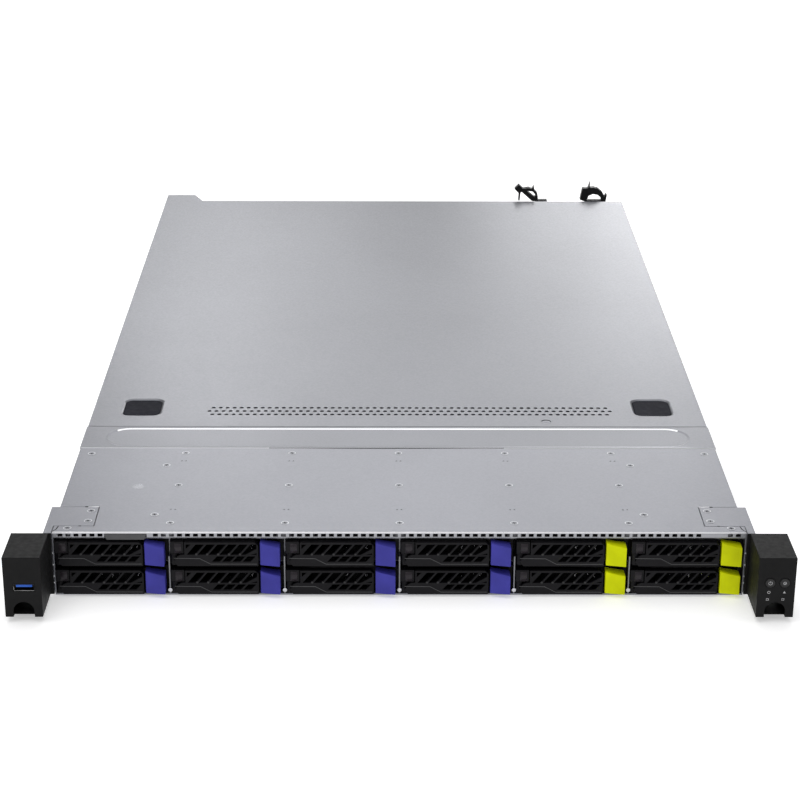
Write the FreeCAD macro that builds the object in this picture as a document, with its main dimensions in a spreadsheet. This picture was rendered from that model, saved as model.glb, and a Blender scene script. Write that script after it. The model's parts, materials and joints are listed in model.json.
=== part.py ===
"""A one-unit rack server: a flat sheet-metal chassis with twelve drive bays across its front.

All lengths are in millimetres. Every piece is drawn with x = 0 in the middle of the chassis, y = 0 at
the front edge of its floor and z = 0 under the floor, and its Placement then moves it back by half the
chassis length, so that the model's origin is the centre of the floor's underside.
"""
import FreeCAD, Part
import os
import re

import Sketcher
from FreeCAD import Rotation, Vector

COLUMNS = 6
ROWS = 2

# Counts and proportions. Small pins, bores and fan rings are drawn as prisms with ROUND_SIDES sides.
ROUND_SIDES = 8
FANS = 7
FINS = 9
MEMORY_STICKS = 2
LEFT_SLOTS, MAIN_SLOTS, RIGHT_SLOTS = 6, 69, 2
VENT_ROWS = ((0, 57), (-0.5, 58), (0, 57))
SLOT_PITCHES, VENT_PITCHES = 86.94, 86.52
SLAT_PITCHES = 6.41
EASED = 0.6

SIZES = {
    # sheet metal
    "body_length": 730, "floor_gauge": 1.0, "wall_gauge": 0.7, "cover_gauge": 1.0, "cover_gap": 0.25,
    "panel_seam": 0.3, "rack_width": 482.6, "rack_hole_inset": 8.75, "rack_hole_radius": 3.4,
    # drive cage
    "drive_length": 100, "drive_height": 15, "tray_gauge": 0.4, "slide_gap": 0.25, "divider_gauge": 0.8,
    "tray_height": 16.6, "rail_gauge": 0.8, "rail_width": 3, "rail_start": 8, "air_gap": 1.85,
    "divider_step": 26.7, "divider_setback": 6, "duct_height": 4.1, "connector_depth": 8.5,
    "cage_top_start": 3,
    # drive tray, its lever and its release button
    "tray_wall_front": 6, "tray_wall_gauge": 1.5, "drive_start": 9.5, "tray_base_gauge": 0.6,
    "foot_reach": 1.4, "bezel_front": 2, "bezel_gauge": 4.5, "bezel_margin": 0.15, "bezel_rim": 1.0,
    "light_block_end": 9.3, "light_block_low": 8.5, "light_block_front": 1.2, "side_margin": 0.9,
    "lever_gap": 0.5, "pivot_inset": 3.2, "pivot_depth": 1.2, "pin_radius": 1.0, "pin_clearance": 0.1,
    "knuckle_radius": 2.3, "latch_inset": 2.6, "latch_width": 12.4, "latch_gap": 1.2, "latch_low": 1.0,
    "latch_top": 14, "latch_shoulder": 15.4, "latch_peak": 16.4, "latch_lean": 2.5, "latch_front": 2.5,
    "latch_back": 4.5, "latch_tab": 3.5, "stem_width": 6, "stem_height": 6, "stem_length": 3.5,
    "slat_width": 1.5, "slat_lean": 5.8, "slat_start": 11.2, "mid_bar_low": 6.9, "mid_bar_high": 8,
    "top_bar": 1.4, "low_bar": 3.2, "low_slat_pitch": 6.4, "low_slat_reach": 29, "low_slat_lean": 3.3,
    "lip_cut": 2.2,
    # front panel and its slotted rail
    "panel_overlap": 15, "rail_drop": 3.7, "rail_skin": 1.0, "slot_width": 3.1, "slot_height": 2.1,
    "slot_low": 0.5, "left_slot_inset": 3.5, "main_slot_inset": 62.8, "right_slot_inset": 11.7,
    "corner_width": 24.8, "corner_front": 9, "corner_back": 37.2, "tag_inset": 32.8, "tag_width": 25.8,
    "tag_front": 1.2, "tag_reach": 60, "tag_gauge": 1.0,
    # bridge panel and rear cover
    "bridge_length": 38.5, "bridge_lip": 0.7, "emboss_inset": 14.8, "emboss_width": 32.6,
    "emboss_depth": 0.4, "pad_width": 25.5, "pad_length": 29, "pad_inset": 34.3, "pad_back": 35.7,
    "pad_clearance": 0.4, "pad_sink": 0.4, "pad_corner": 4, "vent_step": 6.2, "vent_radius": 1.9,
    "vent_inset": 84.9, "vent_back": 22.1, "lock_inset": 111.9, "lock_back": 9.2, "lock_radius": 3.2,
    "lock_clearance": 0.3, "tab_length": 19.7, "tab_width": 25.8, "tab_slope": 8.5,
    # rack ears
    "ear_width": 23, "ear_gap": 2, "ear_depth": 36.5, "ear_bottom": 3.3, "ear_skin": 1.6,
    "flange_gauge": 1.5, "foot_height": 1, "arch_radius": 6.4, "arch_spring": 7.1, "screw_height": 8.5,
    "plate_overhang": 5.2, "plate_gauge": 1.4, "button_spacing": 8.9, "button_inset": 11.05,
    "button_height": 26.8, "button_radius": 3.0, "button_clearance": 0.3, "button_proud": 0.5,
    "button_length": 3.4, "collar_reach": 1.25, "usb_width": 13.3, "usb_height": 5.3, "usb_inset": 12.45,
    "usb_low": 20.7, "usb_depth": 14, "usb_skin": 0.5, "usb_clearance": 0.2, "tongue_gauge": 1.7,
    # inside
    "board_gauge": 2, "connector_width": 42, "connector_height": 7, "fan_size": 38, "fan_depth": 28,
    "fan_margin": 22.6, "fan_bore": 18, "hub_radius": 8, "fan_space": 62, "blade_start": 2,
    "blade_depth": 10, "standoff_height": 4, "standoff_radius": 3,
    "pcb_gauge": 1.6, "pcb_inset": 10, "pcb_back_gap": 14, "fan_to_board": 14, "cpu_width": 56,
    "cpu_height": 5, "cpu_back": 110, "sink_width": 78, "sink_length": 104, "sink_base": 4,
    "fin_gauge": 1.0, "fin_pitch": 9, "sink_top_gap": 3, "memory_length": 133, "memory_pitch": 7,
    "memory_gauge": 1.6, "memory_height": 30, "memory_clear": 5, "port_depth": 16, "port_clearance": 0.3,
    "slot_plate_inset": 10.3, "slot_plate_pitch": 66, "slot_plate_width": 60, "slot_plate_low": 22,
    "slot_plate_height": 17,
    # power supplies
    "psu_width": 50.5, "psu_length": 185, "psu_height": 40, "psu_gap": 0.5, "handle_width": 7,
    "handle_offset": 3.6, "handle_reach": 30, "handle_low": 6, "handle_high": 38, "handle_bar": 5,
    "handle_corner": 5, "inlet_width": 14, "inlet_height": 22, "inlet_depth": 12, "catch_gauge": 1.6,
    "catch_height": 14, "catch_reach": 18, "catch_root": 4, "catch_offset": 12, "catch_travel": 2.5,
    # strap on each power supply's handle, and the studs for the rack rails
    "strap_width": 6, "strap_gauge": 1.4, "strap_front": 18, "stud_radius": 3, "stud_length": 2,
    "stud_front": 150, "stud_rear": 80, "stud_height": 22,
}

# Connectors in the rear wall: distance left of the power supplies, width and height.
PORTS = ((143.1, 17, 12), (117.1, 14, 15), (93.1, 16, 14), (71.1, 16, 14), (47.1, 30, 9))

# Corners of each strap's outer outline and of the gap in it: x from the handle's middle, z from its top.
STRAPS = {
    "left": ([(-22.3, 16.6), (-18.4, 12.7), (-13, 13.5), (-9.6, 12.4), (-8.1, 15.9), (-7.4, 11.2),
              (-4.7, 8.5), (-3.9, 5), (-3.9, 0), (-9.5, 0.6), (-19.5, 9.6), (-20.6, 8.9), (-21.3, 1),
              (-22.6, 1), (-22.2, 8.2), (-26.4, 12.4)],
             [(-15, 10.7), (-9, 10), (-6, 6.6), (-7, 4.2)]),
    "right": ([(-15, 2), (-12.9, 13.4), (-8.6, 13), (-7.6, 13.4), (-5.7, 19.5), (-5.9, 13.8), (-2.5, 14),
               (1.5, 13.2), (6, 9.6), (8.6, 5), (9.8, 7.4), (10.9, 7), (9.8, 0), (-9.8, 0)],
              [(-8.4, 1.4), (5.6, 1.4), (4.6, 4.5), (2, 6.8), (-2.5, 7.6), (-6.6, 5.9)]),
}

document = FreeCAD.newDocument("rack_server")
sheet = document.addObject("Spreadsheet::Sheet", "Dimensions")
for row, (word, value) in enumerate(SIZES.items(), start=1):
    sheet.set(f"A{row}", word)
    sheet.set(f"B{row}", str(value))
    sheet.setAlias(f"B{row}", word)
document.recompute()

# Lengths that follow from the sheet, as expressions.
EAR_OUTER = "(rack_width/2)"
EAR_INNER = f"({EAR_OUTER} - ear_width)"
HALF = f"({EAR_INNER} - ear_gap)"
INNER = f"({HALF} - wall_gauge)"
BAY = f"(({INNER} + divider_gauge/2)/{COLUMNS // 2})"
SLOT_PITCH = f"(2*{HALF}/{SLOT_PITCHES})"
VENT_PITCH = f"(2*{HALF}/{VENT_PITCHES})"
TRAY_Z = "(floor_gauge + slide_gap)"
ROW = "(tray_height + slide_gap + rail_gauge + air_gap)"
CAGE_TOP = f"({TRAY_Z} + {ROW} + tray_height + slide_gap)"
CAGE_BACK = "(drive_start + drive_length + connector_depth)"
HIGH = f"({CAGE_TOP} + rail_gauge + duct_height + cover_gauge)"
UNDER = f"({HIGH} - cover_gauge)"
WALL_TOP = f"({UNDER} - cover_gap)"
PANEL_BACK = f"({CAGE_BACK} + panel_overlap)"
BRIDGE_BACK = f"({PANEL_BACK} + bridge_length)"
CORNER = f"({HALF} - corner_width)"
TAG_LEFT = f"({HALF} - tag_inset)"
TAG_RIGHT = f"({TAG_LEFT} - tag_width)"
PSU_RIGHT = f"({INNER} - psu_gap)"
PSU_PITCH = "(psu_width + 2*psu_gap)"
PSU_LEFT = f"({PSU_RIGHT} - psu_width - {PSU_PITCH})"
PSU_Z = "(floor_gauge + slide_gap)"
FAN_START = f"({CAGE_BACK} + fan_space)"
FAN_PITCH = f"((2*{INNER} - 2*fan_margin - fan_size)/{FANS - 1})"
BOARD_FRONT = f"({FAN_START} + fan_depth + fan_to_board)"
BOARD_TOP = "(floor_gauge + standoff_height + pcb_gauge)"
BOARD_RIGHT = f"({PSU_LEFT} - psu_gap - divider_gauge)"
BOARD_WIDTH = f"({BOARD_RIGHT} + {INNER} - pcb_inset)"
LATCH_RIGHT = f"({BAY} - latch_inset)"
LATCH_LEFT = f"({LATCH_RIGHT} - latch_width)"
LEVER_LEFT = "(light_block_end + lever_gap)"
LEVER_RIGHT = f"({LATCH_LEFT} - latch_gap)"
LEVER_LOW = "bezel_margin"
LEVER_HIGH = "(tray_height - bezel_margin)"
SLAT_PITCH = f"(({LEVER_RIGHT} - bezel_rim - slat_start)/{SLAT_PITCHES})"

nodes = []


def bound(expression):
    """Gives each size word in an expression its sheet, so that 'wall/2' reads 'Dimensions.wall/2'."""
    return re.sub(r"[a-z]+(?:_[a-z]+)+", lambda word: "Dimensions." + word.group(), expression)


def box(name, x, y, z):
    """A block between pairs of expressions, low then high, along each axis."""
    block = document.addObject("Part::Box", name)
    for side, axis, (low, high) in (("Length", "x", x), ("Width", "y", y), ("Height", "z", z)):
        block.setExpression(side, bound(f"({high}) - ({low})"))
        block.setExpression(f"Placement.Base.{axis}", bound(low))
    return block


TURNS = {"x": Rotation(Vector(0, 1, 0), 90), "y": Rotation(Vector(1, 0, 0), -90), "z": Rotation()}


def turned(solid, size, radius, length, start, axis):
    """Sizes a round or prismatic solid that runs from its start point along +x, +y or +z."""
    solid.Placement = FreeCAD.Placement(Vector(), TURNS[axis])
    solid.setExpression(size, bound(radius))
    solid.setExpression("Height", bound(length))
    for place, value in zip("xyz", start):
        solid.setExpression(f"Placement.Base.{place}", bound(value))
    return solid


def rod(name, radius, length, start, axis):
    return turned(document.addObject("Part::Cylinder", name), "Radius", radius, length, start, axis)


def prism(name, sides, radius, length, start, axis="z"):
    """A regular prism; its radius runs to the corners."""
    solid = document.addObject("Part::Prism", name)
    solid.Polygon = sides
    return turned(solid, "Circumradius", radius, length, start, axis)


def group(name, pieces):
    """Separate solids that are kept together in one object."""
    compound = document.addObject("Part::Compound", name)
    compound.Links = pieces
    return compound


def fuse(name, pieces):
    fusion = document.addObject("Part::MultiFuse", name)
    fusion.Shapes = pieces
    fusion.Refine = True
    return fusion


def cut(name, base, tools):
    cutting = document.addObject("Part::Cut", name)
    cutting.Base = base
    cutting.Tool = group(name + "_tools", tools) if len(tools) > 1 else tools[0]
    return cutting


# Which way each origin plane's normal points along the axis that it stands on.
NORMALS = {"XY_Plane": 1, "XZ_Plane": -1, "YZ_Plane": 1}


def sketch(body, name, plane, offset, outlines):
    """Closed outlines whose corners are pairs of expressions; the sketch starts them on a unit circle."""
    drawing = body.newObject("Sketcher::SketchObject", name)
    support = [item for item in body.Origin.OriginFeatures if item.Role == plane]
    drawing.AttachmentSupport = [(support[0], "")]
    drawing.MapMode = "FlatFace"
    drawing.setExpression("AttachmentOffset.Base.z", bound(f"{NORMALS[plane]}*({offset})"))
    first = 0
    for corners in outlines:
        count = len(corners)
        turn = Rotation(Vector(0, 0, 1), 360 / count)
        spots = [Vector(1, 0, 0)]
        for _ in range(count - 1):
            spots.append(turn.multVec(spots[-1]))
        for index in range(count):
            drawing.addGeometry(Part.LineSegment(spots[index], spots[(index + 1) % count]), False)
        for index in range(count):
            follower = first + (index + 1) % count
            drawing.addConstraint(Sketcher.Constraint("Coincident", first + index, 2, follower, 1))
        for index, (across, along) in enumerate(corners):
            for kind, start, value in (("DistanceX", spots[index].x, across),
                                       ("DistanceY", spots[index].y, along)):
                rule = Sketcher.Constraint(kind, -1, 1, first + index, 1, start)
                number = drawing.addConstraint(rule)
                drawing.setExpression(f"Constraints[{number}]", bound(value))
        first += count
    return drawing


def shape(body, kind, name, plane, low, high, outlines):
    """Adds a Pad or Pocket between two places along the axis that the plane stands on."""
    start = low if (kind == "Pad") == (NORMALS[plane] > 0) else high
    feature = body.newObject("PartDesign::" + kind, name)
    feature.Profile = sketch(body, name + "_sketch", plane, start, outlines)
    feature.setExpression("Length", bound(f"({high}) - ({low})"))
    body.Tip = feature
    return feature


def rectangle(x, y):
    return [(x[0], y[0]), (x[1], y[0]), (x[1], y[1]), (x[0], y[1])]


def trimmed(x, y, corner):
    """A rectangle with its four corners cut at 45 degrees."""
    (left, right), (low, high) = x, y
    return [(f"{left} + {corner}", low), (f"{right} - {corner}", low),
            (right, f"{low} + {corner}"), (right, f"{high} - {corner}"),
            (f"{right} - {corner}", high), (f"{left} + {corner}", high),
            (left, f"{high} - {corner}"), (left, f"{low} + {corner}")]


def sided(sign, near, far):
    """The x range between two distances from the middle, on the left (-1) or the right (1)."""
    return (f"{near}", f"{far}") if sign > 0 else (f"-({far})", f"-({near})")


def new_body(name):
    return document.addObject("PartDesign::Body", name)


def node(piece, label, x="0", z="0"):
    """Names a finished piece and sets it in the model's own frame."""
    piece.Label = label
    piece.setExpression("Placement.Base.x", bound(x))
    piece.setExpression("Placement.Base.y", bound("-body_length/2"))
    piece.setExpression("Placement.Base.z", bound(z))
    nodes.append(piece)


def psu_left_edge(number):
    """The left side of power supply 0 (inboard) or 1 (outboard)."""
    return f"({PSU_RIGHT} - psu_width - {1 - number}*{PSU_PITCH})"


def io_ports():
    """The x and z ranges of the connectors in the rear wall."""
    for reach, width, height in PORTS:
        across = (f"{PSU_LEFT} - {reach}", f"{PSU_LEFT} - {reach - width}")
        yield across, (BOARD_TOP, f"{BOARD_TOP} + {height}")


def slot_plates():
    """The x and z ranges of the expansion slots in the rear wall."""
    for number in range(2):
        low = f"(-{HALF} + slot_plate_inset + {number}*slot_plate_pitch)"
        yield (low, f"{low} + slot_plate_width"), ("slot_plate_low", "slot_plate_low + slot_plate_height")


def wider(pair, gap):
    return f"{pair[0]} - {gap}", f"{pair[1]} + {gap}"


# Sheet-metal shell ------------------------------------------------------------------------------------

def chassis_pan():
    """The open tray that carries everything: floor, two sides, a pierced rear wall and rail studs."""
    whole = (f"-{HALF}", HALF)
    pieces = [box("floor", whole, ("0", "body_length"), ("0", "floor_gauge"))]
    rear = box("rear_wall", whole, ("body_length - wall_gauge", "body_length"), ("0", WALL_TOP))
    through = ("body_length - 2*wall_gauge", "body_length + wall_gauge")
    holes = []
    for number in range(2):
        left = psu_left_edge(number)
        across = wider((left, f"{left} + psu_width"), "slide_gap")
        holes.append(box(f"psu_hole_{number}", across, through, ("floor_gauge", WALL_TOP)))
    for number, (across, tall) in enumerate(io_ports()):
        across = wider(across, "port_clearance")
        holes.append(box(f"port_hole_{number}", across, through, wider(tall, "port_clearance")))
    for number, (across, tall) in enumerate(slot_plates()):
        across = wider(across, "port_clearance")
        holes.append(box(f"slot_hole_{number}", across, through, wider(tall, "port_clearance")))
    pieces.append(cut("pierced_rear", rear, holes))
    for side, sign in (("left", -1), ("right", 1)):
        across = sided(sign, INNER, HALF)
        pieces.append(box(f"{side}_side", across, ("0", "body_length"), ("0", WALL_TOP)))
        start = HALF if sign > 0 else f"-{HALF} - stud_length"
        for place, along in (("front", "stud_front"), ("back", "body_length - stud_rear")):
            name = f"{side}_{place}_stud"
            pieces.append(rod(name, "stud_radius", "stud_length", (start, along, "stud_height"), "x"))
    node(fuse("pan", pieces), "chassis_pan")


def drive_cage():
    """Dividers between the bay columns, with ledges that carry the upper row, under a thin top."""
    pieces = []
    for number in range(1, COLUMNS):
        middle = f"{number - COLUMNS // 2}*{BAY}"
        across = wider((middle, middle), "divider_gauge/2")
        pieces.append(box(f"divider_{number}", across, ("0", CAGE_BACK), ("floor_gauge", "divider_step")))
        pieces.append(box(f"high_divider_{number}", across, ("divider_setback", CAGE_BACK),
                          ("divider_step", CAGE_TOP)))
        ledge = wider((middle, middle), "(divider_gauge/2 + rail_width)")
        rest = (f"{TRAY_Z} + {ROW} - slide_gap - rail_gauge", f"{TRAY_Z} + {ROW} - slide_gap")
        pieces.append(box(f"ledge_{number}", ledge, ("rail_start", CAGE_BACK), rest))
    for side, sign in (("left", -1), ("right", 1)):
        ledge = sided(sign, f"{INNER} - rail_width", INNER)
        pieces.append(box(f"{side}_ledge", ledge, ("rail_start", CAGE_BACK), rest))
    top = (CAGE_TOP, f"{CAGE_TOP} + rail_gauge")
    pieces.append(box("cage_top", (f"-{INNER}", INNER), ("cage_top_start", CAGE_BACK), top))
    node(fuse("cage", pieces), "drive_cage")


def front_cover():
    """The front top panel: corners cut out for the ears, and a slotted rail folded down in front."""
    body = new_body("cover_blank")
    inset = f"({CORNER} - panel_seam)"
    low = "(corner_front - panel_seam)"
    high = "(corner_back + panel_seam)"
    back = f"({PANEL_BACK} - panel_seam/2)"
    right = [(HALF, "0"), (HALF, low), (inset, low), (inset, high), (HALF, high), (HALF, back)]
    left = [(f"-{across}", along) for across, along in reversed(right)]
    shape(body, "Pad", "panel", "XY_Plane", UNDER, HIGH, [right + left])
    rail = rectangle((f"-{INNER}", INNER), (f"{HIGH} - rail_drop", UNDER))
    shape(body, "Pad", "folded_rail", "XZ_Plane", "0", "rail_skin", [rail])
    skin = ("0", "rail_skin")
    gap = (f"-{TAG_LEFT} - panel_seam", f"-{TAG_RIGHT} + panel_seam")
    openings = [box("tag_gap", gap, skin, (f"{HIGH} - rail_drop", UNDER))]
    base = f"{HIGH} - rail_drop + slot_low"
    rows = (("left_slot", f"-{HALF} + left_slot_inset", LEFT_SLOTS),
            ("slot", f"-{HALF} + main_slot_inset", MAIN_SLOTS),
            ("right_slot", f"{HALF} - right_slot_inset", RIGHT_SLOTS))
    for name, first, count in rows:
        for number in range(count):
            start = f"({first} + {number}*{SLOT_PITCH})"
            openings.append(box(f"{name}_{number}", (start, f"{start} + slot_width"), skin,
                                (base, f"{base} + slot_height")))
    node(cut("slotted_cover", body, openings), "front_cover")


def bridge_cover():
    """The narrow panel between the covers, with a shallow stadium pressed into its top."""
    body = new_body("bridge_cover")
    along = (f"{PANEL_BACK} + panel_seam/2", f"{BRIDGE_BACK} - panel_seam/2")
    across = (f"-{HALF} - bridge_lip", f"{HALF} + bridge_lip")
    shape(body, "Pad", "strip", "XY_Plane", UNDER, HIGH, [rectangle(across, along)])
    middle = f"({PANEL_BACK} + bridge_length/2)"
    end = f"({HALF} - emboss_inset)"
    pressed = trimmed((f"-{end}", end), wider((middle, middle), "emboss_width/2"), f"{EASED}*emboss_width/2")
    shape(body, "Pocket", "pressing", "XY_Plane", f"{HIGH} - emboss_depth", HIGH, [pressed])
    node(body, "bridge_cover")


def pad_outline(sign, grow):
    """The rounded outline of a thumb pad in the rear cover."""
    middle = f"{sign}*({HALF} - pad_inset)"
    across = wider((middle, middle), f"(pad_width/2 + {grow})")
    back = f"({BRIDGE_BACK} + pad_back)"
    return trimmed(across, wider((back, back), f"(pad_length/2 + {grow})"), "pad_corner")


def rear_cover():
    """The long sliding cover: thumb-pad windows, three rows of vents, a lock hole and a rear tab."""
    body = new_body("cover_sheet")
    front = f"({BRIDGE_BACK} + panel_seam/2)"
    back = "body_length"
    outline = [(f"-{HALF}", front), (HALF, front), (HALF, back), (f"-{HALF} + tab_width + tab_slope", back),
               (f"-{HALF} + tab_width", f"{back} + tab_length"), (f"-{HALF}", f"{back} + tab_length")]
    shape(body, "Pad", "panel_sheet", "XY_Plane", UNDER, HIGH, [outline])
    windows = [pad_outline(sign, "pad_clearance") for sign in (-1, 1)]
    lock = "(lock_radius + lock_clearance)"
    lock_y = f"({BRIDGE_BACK} + lock_back)"
    lock_x = f"({HALF} - lock_inset)"
    windows.append(trimmed(wider((lock_x, lock_x), lock), wider((lock_y, lock_y), lock), f"{EASED}*{lock}"))
    shape(body, "Pocket", "windows", "XY_Plane", UNDER, HIGH, windows)
    vents = []
    for line, (shift, count) in enumerate(VENT_ROWS):
        y = f"{BRIDGE_BACK} + vent_back + {line}*vent_step"
        for place in range(count):
            start = (f"-{HALF} + vent_inset + {place + shift}*{VENT_PITCH}", y, UNDER)
            vents.append(prism(f"vent_{line}_{place}", 4, "vent_radius", "cover_gauge", start))
    node(cut("vented_cover", body, vents), "rear_cover")


def cover_fittings():
    """The two recessed thumb pads and the turn lock that ride in the rear cover."""
    top = f"{HIGH} - pad_sink"
    pieces = []
    for name, sign in (("left_pad", -1), ("right_pad", 1)):
        body = new_body(name)
        shape(body, "Pad", name + "_plate", "XY_Plane", f"{UNDER}", top, [pad_outline(sign, "0")])
        pieces.append(body)
    start = (f"{HALF} - lock_inset", f"{BRIDGE_BACK} + lock_back", UNDER)
    pieces.append(prism("turn_lock", ROUND_SIDES, "lock_radius", "cover_gauge - pad_sink", start))
    node(group("fittings", pieces), "cover_fittings")


# Drive bays -------------------------------------------------------------------------------------------
# These are drawn in the frame of one bay: x = 0 on the divider to its left, z = 0 under its tray.

def drive_tray_pattern():
    """A carrier with low side rails, a front wall, a light block and a hinge pin, and the drive in it."""
    side = ("divider_gauge/2 + slide_gap", f"{BAY} - divider_gauge/2 - slide_gap")
    back = "drive_start + drive_length"
    wall = ("tray_wall_front", "tray_wall_front + tray_wall_gauge")
    base = ("0", "tray_base_gauge")
    front = box("tray_front", side, wall, ("0", "tray_height"))
    window = box("tray_window", (f"{LEVER_LEFT} + bezel_rim", f"{LEVER_RIGHT} - bezel_rim"), wall,
                 ("2*bezel_rim", "tray_height - 2*bezel_rim"))
    stem = box("stem_slot", wider(stem_range(), "slide_gap"), wall, wider(stem_height(), "slide_gap"))
    rails = []
    for name, low in (("left", side[0]), ("right", f"{side[1]} - tray_gauge")):
        across = (low, f"{low} + tray_gauge")
        rails.append(box(f"tray_{name}_rail", across, ("tray_wall_front", back), ("0", "tray_height/2")))
    plate = box("tray_base", side, ("tray_wall_front", back), base)
    block = box("light_block", ("side_margin", "light_block_end"), ("-light_block_front", "tray_wall_front"),
                ("light_block_low", LEVER_HIGH))
    foot = box("pin_foot", ("pivot_inset - foot_reach", "pivot_inset + foot_reach"),
               ("pivot_depth - foot_reach", "tray_wall_front"), base)
    pin = prism("hinge_pin", ROUND_SIDES, "pin_radius", "light_block_low",
                ("pivot_inset", "pivot_depth", "0"))
    frame = fuse("carrier_frame", [cut("pierced_front", front, [window, stem]), *rails, plate, block, foot,
                                   pin])
    drive = box("drive", wider(side, "-tray_gauge"), ("drive_start", back),
                ("tray_base_gauge", "tray_base_gauge + drive_height"))
    return group("tray_pattern", [frame, drive])


def stem_range():
    middle = f"({LATCH_LEFT} + latch_width/2)"
    return wider((middle, middle), "stem_width/2")


def stem_height():
    return wider(("latch_top/2", "latch_top/2"), "stem_height/2")


def leaning(x, low, high, width, lean):
    """A slat-shaped window whose top leans to the right."""
    return [(x, low), (f"{x} + {width}", low), (f"{x} + {width} + {lean}", high), (f"{x} + {lean}", high)]


def drive_lever_pattern():
    """The swinging bezel: a grille of leaning slats, with a hinge knuckle behind its left end."""
    body = new_body("lever_bezel")
    front = ("-bezel_front", "bezel_gauge - bezel_front")
    lip = "(pivot_inset + lip_cut)"
    outline = [(lip, LEVER_LOW), (LEVER_RIGHT, LEVER_LOW), (LEVER_RIGHT, f"{LEVER_HIGH} - lip_cut"),
               (f"{LEVER_RIGHT} - lip_cut", LEVER_HIGH), (LEVER_LEFT, LEVER_HIGH),
               (LEVER_LEFT, "mid_bar_high"), (f"{lip} + lip_cut", "mid_bar_high"),
               (lip, "mid_bar_low"), ("pivot_inset", "low_bar")]
    shape(body, "Pad", "bezel_plate", "XZ_Plane", *front, [outline])
    high = f"({LEVER_HIGH} - top_bar)"
    inside = f"({LEVER_RIGHT} - bezel_rim)"
    width = f"({SLAT_PITCH} - slat_width)"
    windows = [leaning(f"slat_start + {n}*{SLAT_PITCH}", "mid_bar_high", high, width, "slat_lean")
               for n in range(5)]
    last = f"(slat_start + 5*{SLAT_PITCH})"
    windows.append([(last, "mid_bar_high"), (f"{last} + {width}/2", "mid_bar_high"),
                    (inside, f"{high} - 2*slat_width"), (inside, high), (f"{last} + slat_lean", high)])
    windows.append([(f"{last} + {width}/2 + 2*slat_width", "mid_bar_high"), (inside, "mid_bar_high"),
                    (inside, f"{high} - 4*slat_width")])
    corner = f"{LEVER_LEFT} + bezel_rim"
    windows.append([(corner, f"{high} - 2*slat_width"), (f"{corner} + 2*slat_width", high), (corner, high)])
    low_width = "(low_slat_pitch - slat_width)"
    low_start = f"({LEVER_RIGHT} - low_slat_reach)"
    windows += [leaning(f"{low_start} + {n}*low_slat_pitch", "low_bar", "mid_bar_low", low_width,
                        "low_slat_lean") for n in range(4)]
    shape(body, "Pocket", "slat_windows", "XZ_Plane", *front, windows)
    reach = ("slide_gap + tray_base_gauge", "light_block_low - slide_gap")
    knuckle = prism("knuckle", 8, "knuckle_radius", f"({reach[1]}) - ({reach[0]})",
                    ("pivot_inset", "pivot_depth", reach[0]))
    bore = prism("knuckle_bore", ROUND_SIDES, "pin_radius + pin_clearance", "tray_height",
                 ("pivot_inset", "pivot_depth", "0"))
    return cut("lever_pattern", fuse("lever_frame", [body, knuckle]), [bore])


def drive_latch_pattern():
    """The coloured release button: its front leans out and its top slopes down to the right."""
    body = new_body("latch_pattern")
    depth = ("-latch_front - latch_lean", "latch_back")
    plan = [(LATCH_LEFT, "-latch_front"), (LATCH_RIGHT, depth[0]), (LATCH_RIGHT, depth[1]),
            (LATCH_LEFT, depth[1])]
    shape(body, "Pad", "latch_block", "XY_Plane", "latch_low", "latch_peak", [plan])
    above = [(LATCH_LEFT, "latch_peak"), (f"{LATCH_LEFT} + latch_tab", "latch_shoulder"),
             (LATCH_RIGHT, "latch_top"), (LATCH_RIGHT, "latch_peak")]
    shape(body, "Pocket", "latch_slope", "XZ_Plane", *depth, [above])
    stem = rectangle(stem_range(), ("latch_back", "latch_back + stem_length"))
    shape(body, "Pad", "latch_stem", "XY_Plane", *stem_height(), [stem])
    return body


def drive_bays():
    """Places a tray, a lever and a release button in every bay, lower row first."""
    patterns = {"drive_tray": drive_tray_pattern(), "drive_lever": drive_lever_pattern(),
                "drive_latch": drive_latch_pattern()}
    for line in range(ROWS):
        for column in range(COLUMNS):
            number = line * COLUMNS + column + 1
            for name, pattern in patterns.items():
                copy = group(f"{name}_copy_{number}", [pattern])
                node(copy, f"{name}_{number:02d}", f"{column - COLUMNS // 2}*{BAY}",
                     f"{TRAY_Z} + {line}*{ROW}")


# Rack ears --------------------------------------------------------------------------------------------

def ear(side, sign, holes):
    """A hollow box with an arched screwdriver way under its front, open at the back."""
    across = sided(sign, EAR_INNER, EAR_OUTER)
    outer = box(f"{side}_ear_box", across, ("-ear_depth", "-flange_gauge"), ("ear_bottom", HIGH))
    hollow = box(f"{side}_ear_hollow", sided(sign, f"{EAR_INNER} + ear_skin", f"{EAR_OUTER} - ear_skin"),
                 ("-ear_depth + ear_skin", "-flange_gauge"),
                 ("ear_bottom + foot_height + ear_skin/2", f"{HIGH} - ear_skin"))
    middle = f"{sign}*({EAR_OUTER} - ear_width/2)"
    between = wider((middle, middle), "arch_radius")
    gap = box(f"{side}_foot_gap", between, ("-ear_depth", "-flange_gauge"),
              ("ear_bottom", "ear_bottom + foot_height"))
    skin = ("-ear_depth", "-ear_depth + ear_skin")
    way = box(f"{side}_arch_way", between, skin, ("ear_bottom", "arch_spring"))
    arch = rod(f"{side}_arch", "arch_radius", "ear_skin", (middle, "-ear_depth", "arch_spring"), "y")
    node(cut(f"{side}_ear", outer, [hollow, gap, way, arch, *holes]), f"ear_{side}")


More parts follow.
